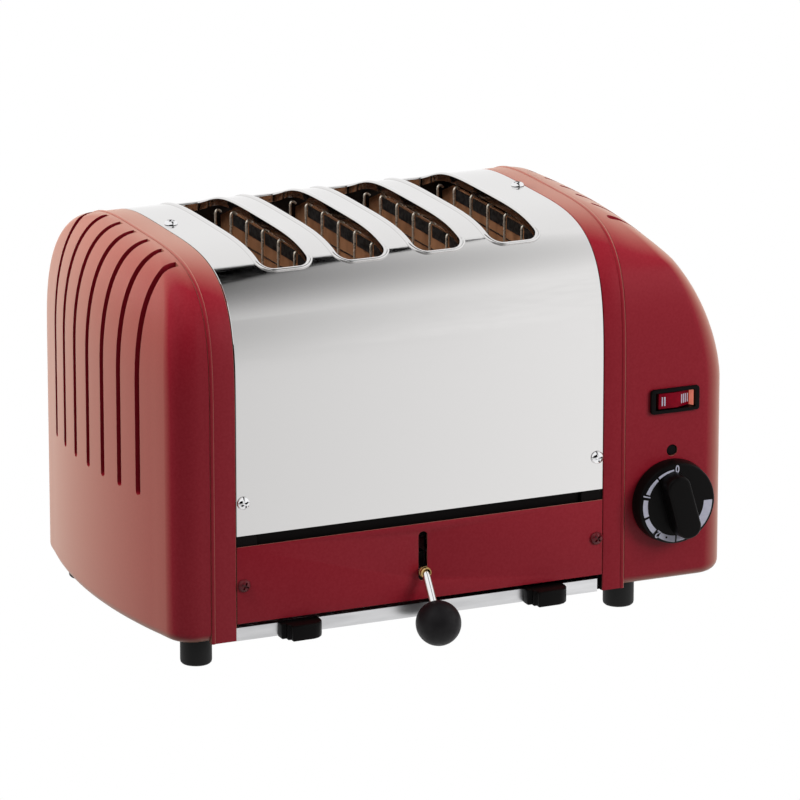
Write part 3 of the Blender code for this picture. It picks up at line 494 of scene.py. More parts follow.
def slot_rim(name, centre_x):
    """The rim profile carried round a slot; its bead follows the crown, its leg hangs plumb."""
    plumb = Vector((0, 0, 1))
    loop, profile = rim_loop(centre_x), rim_profile()
    bm = bmesh.new()
    rings = []
    for i, here in enumerate(loop):
        along = (loop[(i + 1) % len(loop)] - loop[i - 1]).normalized()
        side = along.cross(plumb).normalized()
        up = side.cross(along)
        rings.append([bm.verts.new(here + side * a + (up if b > -RIM_LEG / 2 else plumb) * b
                                   + SHIFT) for a, b in profile])
    count = len(profile)
    for one, two in zip(rings, rings[1:] + rings[:1]):
        for k in range(count):
            bm.faces.new((one[k], two[k], two[(k + 1) % count], one[(k + 1) % count]))
    return painted(new_object(name, bm), STEEL)


def build_steel_panel():
    left, right, edge = LEFT_BAND + GAP, RIGHT_BAND - GAP, 0.25 * MM
    section = [(left, edge), (left + edge, 0)]
    section += [(left + (right - left) * i / 24, 0) for i in range(1, 24)]
    section += [(right - edge, 0), (right, edge), (right, PANEL_THICK), (left, PANEL_THICK)]
    panel = sweep_over_loaf("steel_panel_sheet", section, PANEL_BOTTOM)
    margin = 1.2 * MM
    holes = [prism("hole", rounded_rectangle(SLOT_HALF_WIDTH + margin, SLOT_HALF_LENGTH + margin,
                                             SLOT_CORNER, centre=(x, 0)), 0.17, 0.25, "Z")
             for x in SLOT_CENTRES]
    panel = painted(cut(panel, holes), STEEL)
    rims = [slot_rim(f"slot_rim_{i + 1}", x) for i, x in enumerate(SLOT_CENTRES)]
    # Painted light: bright steel plates over the left half of each slot's rear end, beside the dark
    # wall, give the one rear wall a lit half and a shaded half.
    (y1, y2), (z1, z2) = END_PLATE_Y, END_PLATE_Z
    rims += [painted(box("slot_end_plate", (x - 13.5 * MM, y1, z1), (x - 0.5 * MM, y2, z2)), STEEL)
             for x in SLOT_CENTRES]
    finish_joined(join("steel_panel", [panel] + rims), "body", ["body_panel"],
                  40)


# ---- red castings ----


def build_end_frames():
    """Bands with a fine round bead along the cap seam; the ledge behind the steel and the rail end
    are painted shade black.
    """
    sunk = PANEL_THICK + GAP
    for name, seam, band, inward in (("left_end_frame", LEFT_SEAM, LEFT_BAND, 1),
                                     ("right_end_frame", RIGHT_SEAM, RIGHT_BAND, -1)):
        start, ledge = seam + inward * SEAM_GAP, band + inward * FRAME_FLANGE
        section = [(start, 0.5 * MM)]
        for eighth in range(9):
            turn = math.pi * eighth / 8
            section.append((start + inward * BEAD_HALF * (1 - math.cos(turn)),
                            -BEAD_PROUD * math.sin(turn)))
        section += [(band - inward * 0.6 * MM, 0), (band - inward * 0.2 * MM, 0.15 * MM),
                    (band, 0.6 * MM), (band, sunk),
                    (ledge, sunk), (ledge, FRAME_THICK), (start, FRAME_THICK)]
        casting = sweep_over_loaf(name + "_casting", section, FRAME_BOTTOM)
        doorway = box("doorway", (LEFT_BAND + 0.2 * MM, -0.2, 0),
                      (RIGHT_BAND - 0.2 * MM, 0.2, COVER_BOTTOM))
        casting = painted(cut(casting, [doorway]), ENAMEL)
        low, high = sorted((band - inward * 0.1 * MM, band + inward * 2.1 * MM))
        rail = painted(box("rail_end", (low, -HALF_DEPTH + 3.4 * MM, FRAME_BOTTOM),
                           (high, -88 * MM, COVER_BOTTOM)), SHADOW_BLACK)
        # Painted shade: the faces from the band inward take the shadow black.
        casting.data.materials.append(SHADOW_BLACK.material)
        for face in casting.data.polygons:
            if (face.center.x - band) * inward > -0.05 * MM:
                face.material_index = 1
        finish_joined(join(name + "_casting", [casting, rail]), "body", [name], 50)


def cap_plan(seam, inset):
    """Plan outline of a cap from its front seam round the end to its back seam."""
    half, radius = HALF_DEPTH - inset, CORNER_RADIUS - inset
    face = END_FACE_RADIUS - inset
    corner_y = half - radius
    face_x = END_X - inset - face
    corner_x = face_x + math.sqrt(face ** 2 - corner_y ** 2) - radius
    lean = math.asin(corner_y / face)
    front = [(seam + (corner_x - seam) * i / 6, -half) for i in range(6)]
    for i in range(17):
        turn = -math.pi / 2 + (math.pi / 2 - lean) * i / 16
        front.append((corner_x + radius * math.cos(turn), -corner_y + radius * math.sin(turn)))
    for i in range(1, 17):
        turn = -lean * (1 - i / 16)
        front.append((face_x + face * math.cos(turn), face * math.sin(turn)))
    return front + [(x, -y) for x, y in reversed(front[:-1])]


def oval_plan(plan, seam, inset, share):
    """The plan pulled part of the way toward a half ellipse on the same seam."""
    half, reach = max(y for x, y in plan), END_X - inset - seam
    pulled = []
    for x, y in plan:
        turn = math.atan2(y / half, (x - seam) / reach)
        oval_x, oval_y = seam + reach * math.cos(turn), half * math.sin(turn)
        pulled.append((x + (oval_x - x) * share, y + (oval_y - y) * share))
    return pulled


FOOT_LEVELS, CROWN_LEVELS = 8, 56


def cap_rings(seam, fall, inset, bottom, rounded):
    """Plan outlines of a cap at rising heights; they shrink toward the seam."""
    power, fall_start = fall
    plan, foot = cap_plan(seam, inset), 0.0 if inset else CAP_FOOT_RADIUS
    fall_rise, rings = TOP - inset - fall_start, []
    for i in range(FOOT_LEVELS if foot else 0):
        turn = math.pi / 2 * i / FOOT_LEVELS
        z = bottom + foot * (1 - math.cos(turn))
        rings.append([(x, y, z) for x, y in cap_plan(seam, foot * (1 - math.sin(turn)))])
    start = bottom + foot
    levels = [(start + (SHOULDER - start) * part, 1.0) for part in (0.0, 0.3, 0.6, 0.8, 1.0)]
    for i in range(1, CROWN_LEVELS):
        up = math.sin(math.pi / 2 * i / CROWN_LEVELS) ** 0.8
        levels.append((SHOULDER + up * (TOP - SHOULDER - inset),
                       max(1 - up ** ARCH_Z, 0.0) ** (1 / ARCH_Y)))
    for z, narrow in levels:
        drop = min(max((z - fall_start) / fall_rise, 0.0), 1.0)
        reach = (1 - drop ** power) ** (1 / power)
        share = min(max((z - CROWN_LOW) / (CROWN_HIGH - CROWN_LOW), 0.0), 1.0) if rounded else 0.0
        rings.append([(seam + (x - seam) * reach, y * narrow, z)
                      for x, y in oval_plan(plan, seam, inset, share)])
    return rings


def cap_lump(name, seam, fall, inset, bottom, side):
    """A cap as a solid lump, closed by a flat bottom, a flat seam face and a crown point."""
    bm = bmesh.new()
    rings = [[bm.verts.new(Vector((side * x, y, z)) + SHIFT) for x, y, z in ring]
             for ring in cap_rings(seam, fall, inset, bottom, side > 0)]
    for one, two in zip(rings, rings[1:]):
        for i in range(len(one) - 1):
            bm.faces.new((one[i], one[i + 1], two[i + 1], two[i]))
    crown = bm.verts.new(Vector((side * seam, 0, TOP - inset)) + SHIFT)
    for a, b in zip(rings[-1], rings[-1][1:]):
        bm.faces.new((a, b, crown))
    bm.faces.new(list(reversed(rings[0])))
    bm.faces.new([ring[0] for ring in rings] + [crown] + [ring[-1] for ring in reversed(rings)])
    bmesh.ops.triangulate(bm, faces=[face for face in bm.faces if len(face.verts) == 4])
    return new_object(name, bm)


def louvre_cutters(side, inner_x):
    """Slits with round ends: one set reaches over the shoulder, one down the end face. Their walls
    are painted shade black.
    """
    cutters = []
    half = LOUVRE_WIDTH / 2
    long, tall = 0.5 * (SLIT_OUT - inner_x), 0.5 * (SLIT_TOP - LOUVRE_BOTTOM)
    low, high = sorted((side * SLIT_DOWN_START, side * 200 * MM))
    for i in range(-3, 4):
        y = i * LOUVRE_PITCH
        over = rounded_rectangle(long, half, half * 0.98, 6, (side * (inner_x + long), y))
        cutters.append(painted(prism("slit_over", over, SLIT_OVER_START, 240 * MM, "Z"),
                               SHADOW_BLACK))
        down = rounded_rectangle(half, tall, half * 0.98, 6, (y, LOUVRE_BOTTOM + tall))
        cutters.append(painted(prism("slit_down", down, low, high, "X"), SHADOW_BLACK))
    return cutters


def build_end_caps():
    for name, side, seam, fall, inner in (
            ("left_end_cap", -1, -LEFT_SEAM, LEFT_FALL, LOUVRE_LEFT_START),
            ("right_end_cap", 1, RIGHT_SEAM, RIGHT_FALL, LOUVRE_RIGHT_START)):
        lump = cap_lump(name + "_casting", seam + SEAM_GAP, fall, 0.0, CAP_BOTTOM, side)
        cutters = [cap_lump("hollow", seam - 5 * MM, fall, CAP_WALL, CAP_BOTTOM + CAP_WALL, side),
                   cap_lump("well", seam - 5 * MM, fall, 7.0 * MM, 0.0, side)]
        # Painted shade: the hollow, the well and the slit walls take the shadow black.
        cutters = [painted(cutter, SHADOW_BLACK) for cutter in cutters]
        cutters += louvre_cutters(side, inner)
        if side > 0:
            front = -HALF_DEPTH
            cutters.append(box("switch_hole", (121.7 * MM, front - 0.01, 116.7 * MM),
                               (148.3 * MM, front + 0.01, 128.1 * MM)))
            bore = in_mm([(0, 5), (3.4, 5), (3.4, -5), (0, -5)])
            cutters.append(turned("index_hole", bore, INDEX_CENTRE, (0, -1, 0), 32))
        finish_joined(cut(painted(lump, ENAMEL), cutters), "body", [name], 38)


def build_lower_covers():
    outer, inner = HALF_DEPTH, HALF_DEPTH - PANEL_THICK
    left, right = LEFT_BAND + GAP, RIGHT_BAND - GAP
    front = box("front_cover_sheet", (left, -outer, COVER_BOTTOM), (right, -inner, COVER_TOP))
    slot = rounded_rectangle(LEVER_SLOT_HALF_WIDTH, LEVER_SLOT_HALF_HEIGHT, 2.6 * MM, 8,
                             (LEVER_X, LEVER_SLOT_Z))
    front = cut(front, [prism("lever_slot", slot, -0.12, -0.08, "Y")])
    finish_piece(round_edges(front, 0.25 * MM, 2), ENAMEL, "body", ["front_lower_cover"])
    rear = box("rear_cover_sheet", (left, inner, COVER_BOTTOM), (right, outer, COVER_TOP))
    finish_piece(round_edges(rear, 0.25 * MM, 2), ENAMEL, "body", ["rear_lower_cover"])


# ---- screws and feet ----


def screw_places():
    """Name, place, outward direction and look of each of the ten screws."""
    places = []
    for side, sign in (("front", -1), ("rear", 1)):
        for end, x in (("left", -128.2), ("right", 87.2)):
            for row, z, look in (("upper", 94.0, CHROME), ("lower", 46.5, ENAMEL)):
                places.append((f"{side}_{row}_screw_{end}",
                               Vector((x * MM, sign * HALF_DEPTH, z * MM)), (0, sign, 0), look))
    for end, x in (("left", -126.2), ("right", 87.2)):
        places.append((f"top_screw_{end}", Vector((x * MM, TOP_SCREW_Y, TOP)), (0, 0, 1), CHROME))
    return places


def build_screws():
    """Pan heads with a cross recess, each turned its own way; the recess is painted shade black
    inside.
    """
    profile = in_mm([(0, 2.35), (1.2, 2.3), (2.3, 2.0), (3.2, 1.4), (3.7, 0.7), (3.8, 0.25),
                     (1.5, 0.25), (1.5, -6), (0, -6)])
    for index, (name, place, outward, look) in enumerate(screw_places()):
        # Painted shade: the lower heads take the darkened copy of the red enamel.
        head = painted(turned(name + "_head", profile, place, outward, 40),
                       CHROME if look is CHROME else SHADED_ENAMEL)
        axis = Vector(outward)
        turn = Matrix.Rotation(math.radians(25 + 37 * index), 4, axis)
        blades = []
        for half_size in ((RECESS_HALF_LENGTH, RECESS_HALF_WIDTH),
                          (RECESS_HALF_WIDTH, RECESS_HALF_LENGTH)):
            outline = rounded_rectangle(*half_size, 0.3 * MM, 3)
            blade = unshifted(prism("blade", outline, 1.0 * MM, 4 * MM, "Z"))
            blade.data.transform(Vector((0, 0, 1)).rotation_difference(axis).to_matrix().to_4x4())
            blade.data.transform(Matrix.Translation(place + SHIFT) @ turn)
            blades.append(painted(blade, SHADOW_BLACK))
        finish_joined(cut(head, blades), "body", [name],
                      40)


def build_feet():
    profile = in_mm([(0, 21.8), (8.7, 21.8), (8.9, 20), (8.9, 2.2), (8.7, 1.0), (8.0, 0.25),
                     (7.0, 0), (3.5, 0), (3.2, 2), (0, 2)])
    for name, x, y in (("foot_front_left", -150.5, -85.4), ("foot_front_right", 109.2, -85.4),
                       ("foot_rear_left", -150.5, 85.4), ("foot_rear_right", 109.2, 85.4)):
        foot = turned(name + "_rubber", profile, (x * MM, y * MM, 0), (0, 0, 1), 48)
        finish_piece(foot, RUBBER, "body", [name])


# ---- crumb tray ----


def build_tray():
    sheet = 1 * MM
    pan = box("tray_pan", (TRAY_LEFT, TRAY_FRONT, TRAY_BOTTOM), (TRAY_RIGHT, TRAY_BACK, TRAY_TOP))
    well = box("well", (TRAY_LEFT + sheet, TRAY_FRONT + 1.6 * MM, TRAY_BOTTOM + sheet),
               (TRAY_RIGHT - sheet, TRAY_BACK - sheet, 0.05))
    pan = cut(pan, [well])
    fascia = box("fascia", (LEFT_BAND + GAP, TRAY_FRONT, TRAY_BOTTOM),
                 (TRAY_RIGHT, TRAY_FRONT + sheet, TRAY_TOP))
    pan = round_edges(cut(pan, [fascia], "UNION"), 0.3 * MM, 2)
    finish_piece(pan, ALUMINIUM, "tray", ["crumb_tray"])
    for name, side in (("left_tray_tab", -1), ("right_tray_tab", 1)):
        middle = LEVER_X - 0.6 * MM + side * 75.0 * MM
        back = TRAY_FRONT - GAP
        low, high = TRAY_BOTTOM - 0.3 * MM, TRAY_BOTTOM + 8.7 * MM
        outline = [(12, 0), (12, -5), (11.5, -7.6), (10.4, -9.6), (8.2, -11.7), (5.2, -12.8),
                   (-8, -13), (-8, -9.6), (-9.6, -9.4), (-9.6, -6.4), (-12, -6.4), (-12, 0)]
        tab = prism(name + "_grip", [(middle + a * MM, back + b * MM) for a, b in outline],
                    low, high, "Z")
        finish_piece(round_edges(tab, 1.0 * MM, 4, 25), BLACK, "tray", [name])


# ---- toasting chamber ----

BOARD_SHOULDER, BOARD_TOP_REACH = 209 * MM, 60.5 * MM
RIBBON_ROWS, RIBBON_FIRST, RIBBON_PITCH, RIBBON_RADIUS = 10, 84, 13.0, 0.35 * MM
STRIP_FIRST, STRIP_PITCH, STRIP_LENGTH = -58.5, 23.4, 21 * MM
STRIP_Z = (207.5 * MM, 214.5 * MM)
LONG_WIRE_HEIGHTS, LONG_WIRE_REACH, LONG_WIRE_RADIUS = (77 * MM, 150 * MM), 66 * MM, 0.9 * MM
UPRIGHT_FIRST, UPRIGHT_PITCH, UPRIGHT_RADIUS = -49, 23, 0.75 * MM


def build_elements():
    """Mica boards, each wound with thin ribbon and carrying a scorched top strip."""
    reach, half = ELEMENT_REACH, ELEMENT_HALF_THICK
    outline = [(-reach, ELEMENT_BOTTOM), (reach, ELEMENT_BOTTOM), (reach, BOARD_SHOULDER),
               (BOARD_TOP_REACH, ELEMENT_TOP), (-BOARD_TOP_REACH, ELEMENT_TOP),
               (-reach, BOARD_SHOULDER)]
    for i, x in enumerate(ELEMENT_CENTRES):
        pieces = [painted(prism("board", outline, x - half, x + half, "X"), MICA)]
        for side in (-1, 1):
            face = x + side * half
            for k in range(RIBBON_ROWS):
                low = (RIBBON_FIRST + RIBBON_PITCH * k) * MM
                slope = 3.0 * MM * math.sin(1.7 * k + i)
                start = (face + side * 0.2 * MM, -reach + 3 * MM, low)
                stop = (face + side * 0.2 * MM, reach - 3 * MM, low + slope)
                wire = tube("ribbon", [start, stop], RIBBON_RADIUS, 8, smooth=False)
                pieces.append(painted(wire, RIBBON))
            low, high = sorted((face, face + side * 0.4 * MM))
            for k in range(5):
                y = (STRIP_FIRST + STRIP_PITCH * k) * MM
                strip = box("strip", (low, y, STRIP_Z[0]), (high, y + STRIP_LENGTH, STRIP_Z[1]))
                pieces.append(painted(strip, SCORCH))
        board = join(f"heater_{i + 1}", pieces)
        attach(board, "body")
        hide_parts(f"heating_element_{i + 1}")


def build_guards():
    """Upright wires hooked over at the top, welded to a bottom and a middle wire."""
    for i, x in enumerate(SLOT_CENTRES):
        for side, word in ((-1, "left"), (1, "right")):
            base = x + side * GUARD_REACH
            pieces = []
            for z in LONG_WIRE_HEIGHTS:
                ends = [(base, -LONG_WIRE_REACH, z), (base, LONG_WIRE_REACH, z)]
                pieces.append(tube("long", ends, LONG_WIRE_RADIUS, smooth=False))
            for k in range(6):
                y = (UPRIGHT_FIRST + UPRIGHT_PITCH * k) * MM
                top = crown_height(y) - GUARD_DROP
                path = [(base, y, 76 * MM), (base, y, 140 * MM), (base, y, top - 6 * MM),
                        (base - side * 0.2 * MM, y, top - 1.4 * MM),
                        (base + side * 1.8 * MM, y, top), (base + side * 3.4 * MM, y, top - 2 * MM)]
                pieces.append(tube("upright", path, UPRIGHT_RADIUS))
            guard = join(f"guard_{i + 1}_{word}", [painted(piece, WIRE) for piece in pieces])
            finish_piece(guard, WIRE, "body", [f"wire_guard_{i + 1}_{word}"], 60)


# ---- lever ----


def build_lever():
    profile = in_mm([(2.45, 4.6), (2.8, 4.6), (3.2, 4.1), (3.2, 2.5), (2.9, 2.2), (3.2, 1.9),
                     (3.2, 0.5), (2.9, 0.1), (2.45, 0.1), (2.45, 4.6)])
    centre = (LEVER_X, -HALF_DEPTH - 0.4 * MM, COLLAR_Z)
    finish_piece(turned("brass_collar", profile, centre, (0, -1, 0), 40), BRASS, "lifter",
                 ["lever_collar"])
    bend = Vector((LEVER_X, -105.8 * MM, COLLAR_Z - 0.8 * MM))
    toward = (BALL_CENTRE - bend).normalized()
    path = [(LEVER_X, -94.3 * MM, COLLAR_Z), (LEVER_X, -101.0 * MM, COLLAR_Z),
            (LEVER_X, -104.6 * MM, COLLAR_Z - 0.1 * MM), bend + toward * 1.2 * MM,
            bend + toward * 5 * MM, BALL_CENTRE - toward * 7 * MM]
    finish_piece(tube("chrome_lever", path, 2.3 * MM, 24), CHROME, "lifter", ["lever_rod"])
    steps = 28
    profile = [(0, BALL_RADIUS)]
    for k in range(1, steps):
        turn = math.pi * k / steps
        profile.append((BALL_RADIUS * math.sin(turn), BALL_RADIUS * math.cos(turn)))
    ball = turned("ball_knob", profile + [(0, -BALL_RADIUS)], BALL_CENTRE, -toward, 56)
    finish_piece(ball, BALL_LOOK, "lifter", ["lever_ball"], 80)


# ---- controls ----


def dial_point(radius, clock, lift=0.0):
    """A point on the dial, in the row's frame; clock is degrees clockwise from the top."""
    turn = math.radians(clock)
    drop = max(0.0, radius - KNOB_FACE_RADIUS) * 0.9
    return (KNOB_CENTRE + SHIFT + Vector((radius * math.sin(turn), -(KNOB_SKIRT - drop) - lift,
                                          radius * math.cos(turn))))


def dial_band(name, start, stop, inner, outer, inner_end, outer_end):
    """A painted arc on the dial whose width may grow from one end to the other."""
    steps = max(int(abs(stop - start) / 3), 2)
    bm = bmesh.new()
    rows = []
    for i in range(steps + 1):
        part = i / steps
        clock = start + (stop - start) * part
        low, high = inner + (inner_end - inner) * part, outer + (outer_end - outer) * part
        rows.append([bm.verts.new(dial_point(radius, clock, 0.10 * MM)) for radius in (low, high)])
    for one, two in zip(rows, rows[1:]):
        bm.faces.new((one[0], one[1], two[1], two[0]))
    grown = bmesh.ops.extrude_face_region(bm, geom=bm.faces[:])
    moved = [item for item in grown["geom"] if isinstance(item, bmesh.types.BMVert)]
    bmesh.ops.translate(bm, verts=moved, vec=(0, 0.15 * MM, 0))
    return painted(new_object(name, bm), MARKING)


def dial_figure(text, clock, radius, size, squeeze):
    """A figure printed on the dial, its top toward the rim."""
    font = bpy.data.curves.new("figure_" + text, "FONT")
    font.body = text
    font.size = size
    font.align_x, font.align_y = "CENTER", "CENTER"
    font.extrude = 0.08 * MM
    font.offset = 0.10 * MM
    made = add_object("figure_" + text, font)
    upright = Matrix.Rotation(math.pi / 2, 4, "X")
    spin = Matrix.Rotation(math.radians(clock), 4, "Y")
    place = Matrix.Translation(dial_point(radius, clock, 0.08 * MM))
    made.matrix_world = place @ spin @ upright @ Matrix.Diagonal((squeeze, 1, 1, 1))
    return painted(bake(made), MARKING)


# start and stop on the clock, then inner and outer radius (mm) at the start and at the stop
DIAL_ARCS = ((-7, -36, 19.7, 20.7, 19.4, 20.9), (-39, -68, 19.05, 20.8, 18.9, 21.4),
             (-77.5, -106, 18.9, 21.8, 18.6, 21.6), (-110, -136, 19.0, 21.7, 18.95, 22.0),
             (-147, -176, 18.7, 22.0, 18.7, 22.5), (-179, -195, 18.2, 22.2, 21.3, 21.8),
             (90, 141, 16.5, 21.8, 16.5, 21.8))


def build_knob():
    """Dial disc with a leaning blade grip, its printed arcs and its figures."""
    skirt = [(3.3 * MM, KNOB_SKIRT), (22.2 * MM, KNOB_SKIRT), (KNOB_FACE_RADIUS, 8.9 * MM),
             (23.2 * MM, 8.6 * MM), (23.5 * MM, 8.1 * MM), (KNOB_RADIUS, 0.8 * MM),
             (24.2 * MM, 0), (3.3 * MM, 0), (3.3 * MM, KNOB_SKIRT)]
    disc = painted(turned("skirt", skirt, KNOB_CENTRE, (0, -1, 0), 128), BLACK)
    outline = rounded_rectangle(7.6 * MM, 19.5 * MM, 6.8 * MM, 12)
    blade = unshifted(prism("blade", outline, KNOB_SKIRT - 1 * MM, GRIP_TOP, "Z"))
    for vert in blade.data.vertices:
        if vert.co.z > KNOB_SKIRT:
            vert.co.x *= 0.94
            vert.co.y *= 0.97
    lean = Matrix.Rotation(GRIP_LEAN, 4, "Y") @ Matrix.Rotation(math.pi / 2, 4, "X")
    blade.data.transform(Matrix.Translation(KNOB_CENTRE + SHIFT) @ lean)
    pieces = [disc, painted(round_edges(blade, 1.5 * MM, 5, 30), BLACK)]
    for i, (start, stop, *radii) in enumerate(DIAL_ARCS):
        pieces.append(dial_band(f"arc_{i}", start, stop, *(radius * MM for radius in radii)))
    for text, clock, radius in (("0", -1, 20.3), ("1", -72, 20.2), ("2", -143, 20.4)):
        pieces.append(dial_figure(text, clock, radius * MM, 6.2 * MM, 0.8))
    dot = in_mm([(0, 0.22), (0.6, 0.22), (0.6, 0), (0, 0)])
    centre = dial_point(20.2 * MM, -160) - SHIFT
    pieces.append(painted(turned("dot", dot, centre, (0, -1, 0), 16), BLACK))
    finish_joined(join("timer_dial_knob", pieces), "timer_dial", ["timer_knob"])


def build_bezel():
    front = -HALF_DEPTH
    sx, sz = SWITCH_CENTRE.x, SWITCH_CENTRE.z
    wide, tall = WINDOW_HALF_WIDTH, WINDOW_HALF_HEIGHT
    outline = rounded_rectangle(BEZEL_HALF_WIDTH, BEZEL_HALF_HEIGHT, 2.0 * MM, 8, (sx, sz))
    bezel = prism("bezel", outline, front - 2.3 * MM, front - 0.1 * MM, "Y")
    bezel = round_edges(bezel, 0.6 * MM, 4)
    back = box("back", (sx - 13 * MM, front - 0.5 * MM, sz - 5.4 * MM),
               (sx + 13 * MM, front + 20 * MM, sz + 5.4 * MM))
    bezel = cut(bezel, [back], "UNION")
    bezel = cut(bezel, [box("window", (sx - wide, front - 5 * MM, sz - tall),
                            (sx + wide, front + 9 * MM, sz + tall))])
    finish_piece(bezel, BLACK, "body", ["switch_housing"])


# the rocker's own numbers are plain millimetres from its pivot line, y toward the back
ROCKER_END, RIDGE_HEIGHT = 10.9, 2.8
TALLY_PLACES, TALLY_HALF_WIDTH = (-8.7, -7.2, 3.9, 5.4, 6.9, 8.5), 0.37


def rocker_depth(x):
    """Where the rocker's face stands at a place along it, before it tips."""
    return -(1.8 + 2.2 * (1 - abs(x) / ROCKER_END) + 0.6)


def rocker_solid(name, outline, half_height):
    return unshifted(prism(name, in_mm(outline), -half_height * MM, half_height * MM, "Z"))


def tally_bar(middle):
    """A raised bar that follows the rocker's face."""
    low, high = middle - TALLY_HALF_WIDTH, middle + TALLY_HALF_WIDTH
    outline = [(low, rocker_depth(low) - 0.12), (high, rocker_depth(high) - 0.12),
               (high, rocker_depth(high) + 0.5), (low, rocker_depth(low) + 0.5)]
    return painted(rocker_solid("tally", outline, 2.6), MARKING)


def build_rocker():
    """Red lens with two and four tally bars, and a ridge at its right end that is pale and glows: a
    painted highlight.
    """
    profile = [(x, rocker_depth(x)) for x in (-ROCKER_END, 0, ROCKER_END)]
    lens = rocker_solid("rocker_lens", profile + [(10.4, 1.0), (-10.4, 1.0)], 4.5)
    pieces = [painted(round_edges(lens, 0.4 * MM, 3, 30), LENS)]
    pieces += [tally_bar(middle) for middle in TALLY_PLACES]
    base = rocker_depth(ROCKER_END)
    top = base - RIDGE_HEIGHT
    outline = [(9.7, base - 0.2), (10.7, top), (11.2, top), (11.2, 1.0), (9.7, 1.0)]
    pieces.append(painted(rocker_solid("ridge", outline, 4.4), RIDGE_HIGHLIGHT))
    rocker = join("rocker_lens_marked", pieces)
    pivot = Matrix.Translation(SWITCH_CENTRE + Vector((0, 2.5 * MM, 0)) + SHIFT)
    rocker.data.transform(pivot @ Matrix.Rotation(ROCKER_TILT, 4, "Z"))
    finish_joined(rocker, "rocker", ["rocker_switch"], 30)


def build_small_parts():
    disc = in_mm([(0, -0.6), (2.7, -0.6), (3.1, -0.9), (3.1, -1.8), (0, -1.8)])
    finish_piece(turned("index_disc", disc, INDEX_CENTRE, (0, -1, 0), 40), BLACK, "body",
                 ["dial_index_plug"])
    ring = in_mm([(4.2, -5), (4.2, 2.6), (4.6, 3), (8.4, 3), (9.0, 2.4), (9.0, 0.1), (5.9, 0.1),
                  (5.9, -5), (4.2, -5)])
    finish_piece(turned("inlet_bush_ring", ring, (140 * MM, HALF_DEPTH, 40 * MM), (0, 1, 0), 48),
                 BLACK, "body", ["inlet_bush"])


def dress_kept_nodes():
    """Materials for the CAD pieces that stay as they are, mostly inside; the baffles, base frame,
    walls and works are painted shade dark.
    """
    looks = {"timer_shaft": CHROME, "guide_rod_1": CHROME, "guide_rod_2": CHROME,
             "front_baffle": SHADOW_BLACK, "rear_baffle": SHADOW_BLACK, "base_frame": SHADOW_BLACK}
    for name in ("lift_carriage", "front_chamber_wall", "rear_chamber_wall",
                 "left_chamber_wall", "right_chamber_wall", "timer_body"):
        looks[name] = SHADED_SHEET
    for name, look in looks.items():
        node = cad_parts[name]
        for slot in node.material_slots:
            slot.material = look.material


# ---- studio ----

WHITE_FLOOR, GLOW_LIMIT = 1.0, 1.02
FLOOR_HALF, FLOOR_DROP = 9, 0.6 * MM
CEILING_HEIGHT = 1.4        # the overhead cards, which the crown mirrors
WALL_FRONT = -3.5           # the card that stands in front of the toaster
DOME_HALF, DOME_LOW, DOME_HIGH = 12, -6, 8
DOME_BELOW, DOME_ABOVE, DOME_SIDE = 0.20, 0.45, 0.16
# name, place, aim, watts, size in metres
LAMPS = (("right_softbox", (0.7, -0.8, 0.5), (0.05, -0.1, 0.1), 5.2, 0.5),
         ("top_softbox", (-0.9, 0.0, 1.5), (0, 0, 0.2), 16.0, 0.9),
         ("left_softbox", (-1.3, 1.3, 0.5), (-0.18, 0, 0.1), 19.0, 0.5),
         ("right_rim_softbox", (1.4, 0.5, 0.9), (0.18, 0, 0.15), 9.0, 0.5))


def add_math(tree, operation, one, two):
    """A math node fed by plain numbers or by other nodes' outputs."""
    node = tree.nodes.new("ShaderNodeMath")
    node.operation = operation
    for socket, value in zip(node.inputs, (one, two)):
        if isinstance(value, (int, float)):
            socket.default_value = value
        else:
            tree.links.new(value, socket)
    return node.outputs["Value"]


def card(name, corners, sees, base=0.0, slopes=(0.0, 0.0, 0.0), cross=0.0):
    """A card that glows by base + slopes . place + cross * x * y, from 0 to GLOW_LIMIT.

    It shows only to the eye, only in mirrored rays or only as soft light, as sees tells.
    """
    bm = bmesh.new()
    bm.faces.new([bm.verts.new(Vector(c)) for c in corners])
    made = new_object(name, bm)
    look = bpy.data.materials.new(name)
    look.use_nodes = True
    tree = look.node_tree
    nodes, links = tree.nodes, tree.links
    nodes.remove(nodes["Principled BSDF"])
    glow = nodes.new("ShaderNodeEmission")
    place = nodes.new("ShaderNodeTexCoord")
    split = nodes.new("ShaderNodeSeparateXYZ")
    links.new(place.outputs["Object"], split.inputs["Vector"])
    total = base
    for output, slope in zip(split.outputs, slopes):
        if slope:
            total = add_math(tree, "ADD", total, add_math(tree, "MULTIPLY", output, slope))
    if cross:
        product = add_math(tree, "MULTIPLY", split.outputs["X"], split.outputs["Y"])
        total = add_math(tree, "ADD", total, add_math(tree, "MULTIPLY", product, cross))
    total = add_math(tree, "MAXIMUM", total, 0.0)
    links.new(add_math(tree, "MINIMUM", total, GLOW_LIMIT), glow.inputs["Strength"])
    links.new(glow.outputs["Emission"], nodes["Material Output"].inputs["Surface"])
    made.data.materials.append(look)
    made.visible_camera = sees == "camera"
    made.visible_glossy = sees == "gloss"
    made.visible_diffuse = sees == "diffuse"
    made.visible_transmission = made.visible_shadow = made.visible_volume_scatter = False


def lamp(name, place, aim, power, size):
    """A square soft light whose own shape shows in no reflection."""
    data = bpy.data.lights.new(name, "AREA")
    data.energy, data.size = power, size
    made = add_object(name, data)
    made.location = place
    made.rotation_euler = (Vector(aim) - Vector(place)).to_track_quat("-Z", "Y").to_euler()
    made.visible_glossy = False


def square(half, z):
    return [(-half, -half, z), (half, -half, z), (half, half, z), (-half, half, z)]


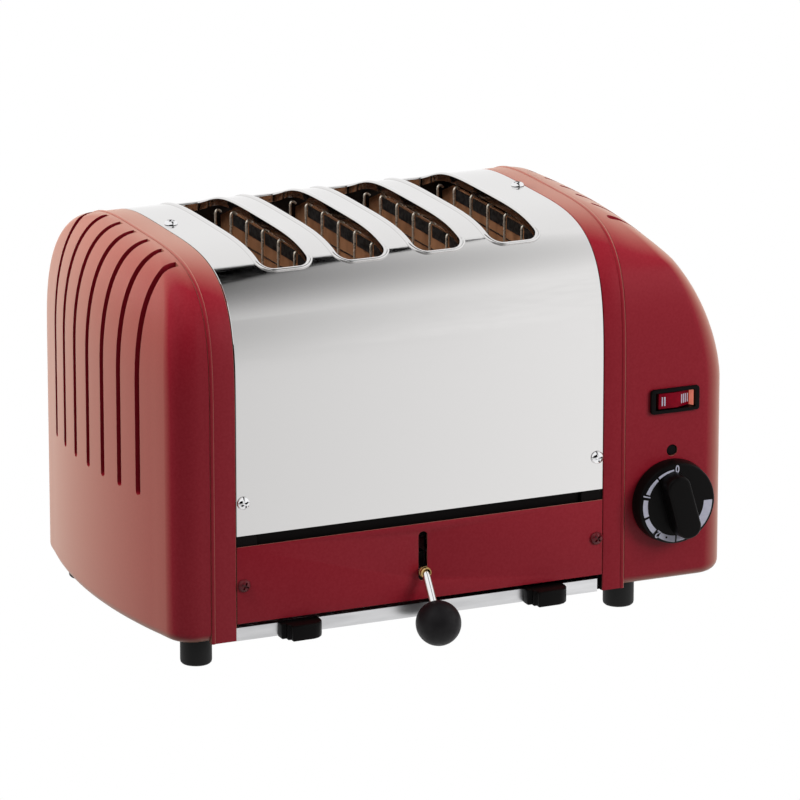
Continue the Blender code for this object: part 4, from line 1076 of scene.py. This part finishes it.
def build_cards():
    """Floors, then the graded cards that the polished steel mirrors."""
    card("pale_floor", square(FLOOR_HALF, -FLOOR_DROP), "camera", WHITE_FLOOR)
    card("mirrored_floor", square(FLOOR_HALF, -FLOOR_DROP - 0.1 * MM), "gloss", 0.973,
         (0.75, 0.333, 0))
    wall = [(-6, WALL_FRONT, 0), (8, WALL_FRONT, 0), (8, WALL_FRONT, 2.3), (-6, WALL_FRONT, 2.3)]
    card("front_card", wall, "gloss", -0.48, (1.0, 0, -0.15))
    back, front = 0.645, -2.2
    edge = [(0.66, back), (0.515, 0.425), (0.4505, 0.311), (0.374, 0.0995), (0.33, -0.085),
            (0.27, -0.4), (0.2, front)]
    lit = [(x, y, CEILING_HEIGHT) for x, y in edge + [(6, front), (6, back)]]
    card("ceiling_card", lit, "gloss", -0.54, (2.2, -0.21, 0), 0.58)
    dark = [(x, y, CEILING_HEIGHT) for x, y in edge + [(0.05, front), (0.05, back)]]
    card("black_ceiling_card", list(reversed(dark)), "gloss", 0.0)


def build_dome():
    """Six dim sheets all round, which light the paint and show in no mirror."""
    card("dome_below", square(DOME_HALF, DOME_LOW), "diffuse", DOME_BELOW)
    card("dome_above", square(DOME_HALF, DOME_HIGH), "diffuse", DOME_ABOVE)
    for x, y in ((1, 0), (-1, 0), (0, 1), (0, -1)):
        one = (DOME_HALF * (x - y), DOME_HALF * (y + x))
        two = (DOME_HALF * (x + y), DOME_HALF * (y - x))
        side = [(*one, DOME_LOW), (*two, DOME_LOW), (*two, DOME_HIGH), (*one, DOME_HIGH)]
        card(f"dome_{x}_{y}", side, "diffuse", DOME_SIDE)


def build_studio():
    """Plain white surroundings for mirrors and the eye, with cards and lamps for the rest."""
    scene = bpy.context.scene
    scene.view_settings.view_transform = "Standard"
    world = bpy.data.worlds.new("studio_white")
    scene.world = world
    world.use_nodes = True
    sky = world.node_tree.nodes["Background"]
    sky.inputs["Color"].default_value = (1.0, 1.0, 1.0, 1.0)
    sky.inputs["Strength"].default_value = 1.0
    world.cycles_visibility.diffuse = False
    build_dome()
    build_cards()
    for name, place, aim, power, size in LAMPS:
        lamp(name, place, aim, power, size)


build_steel_panel()
build_end_frames()
build_end_caps()
build_lower_covers()
build_screws()
build_feet()
build_tray()
build_elements()
build_guards()
build_lever()
build_knob()
build_bezel()
build_rocker()
build_small_parts()
dress_kept_nodes()
build_studio()
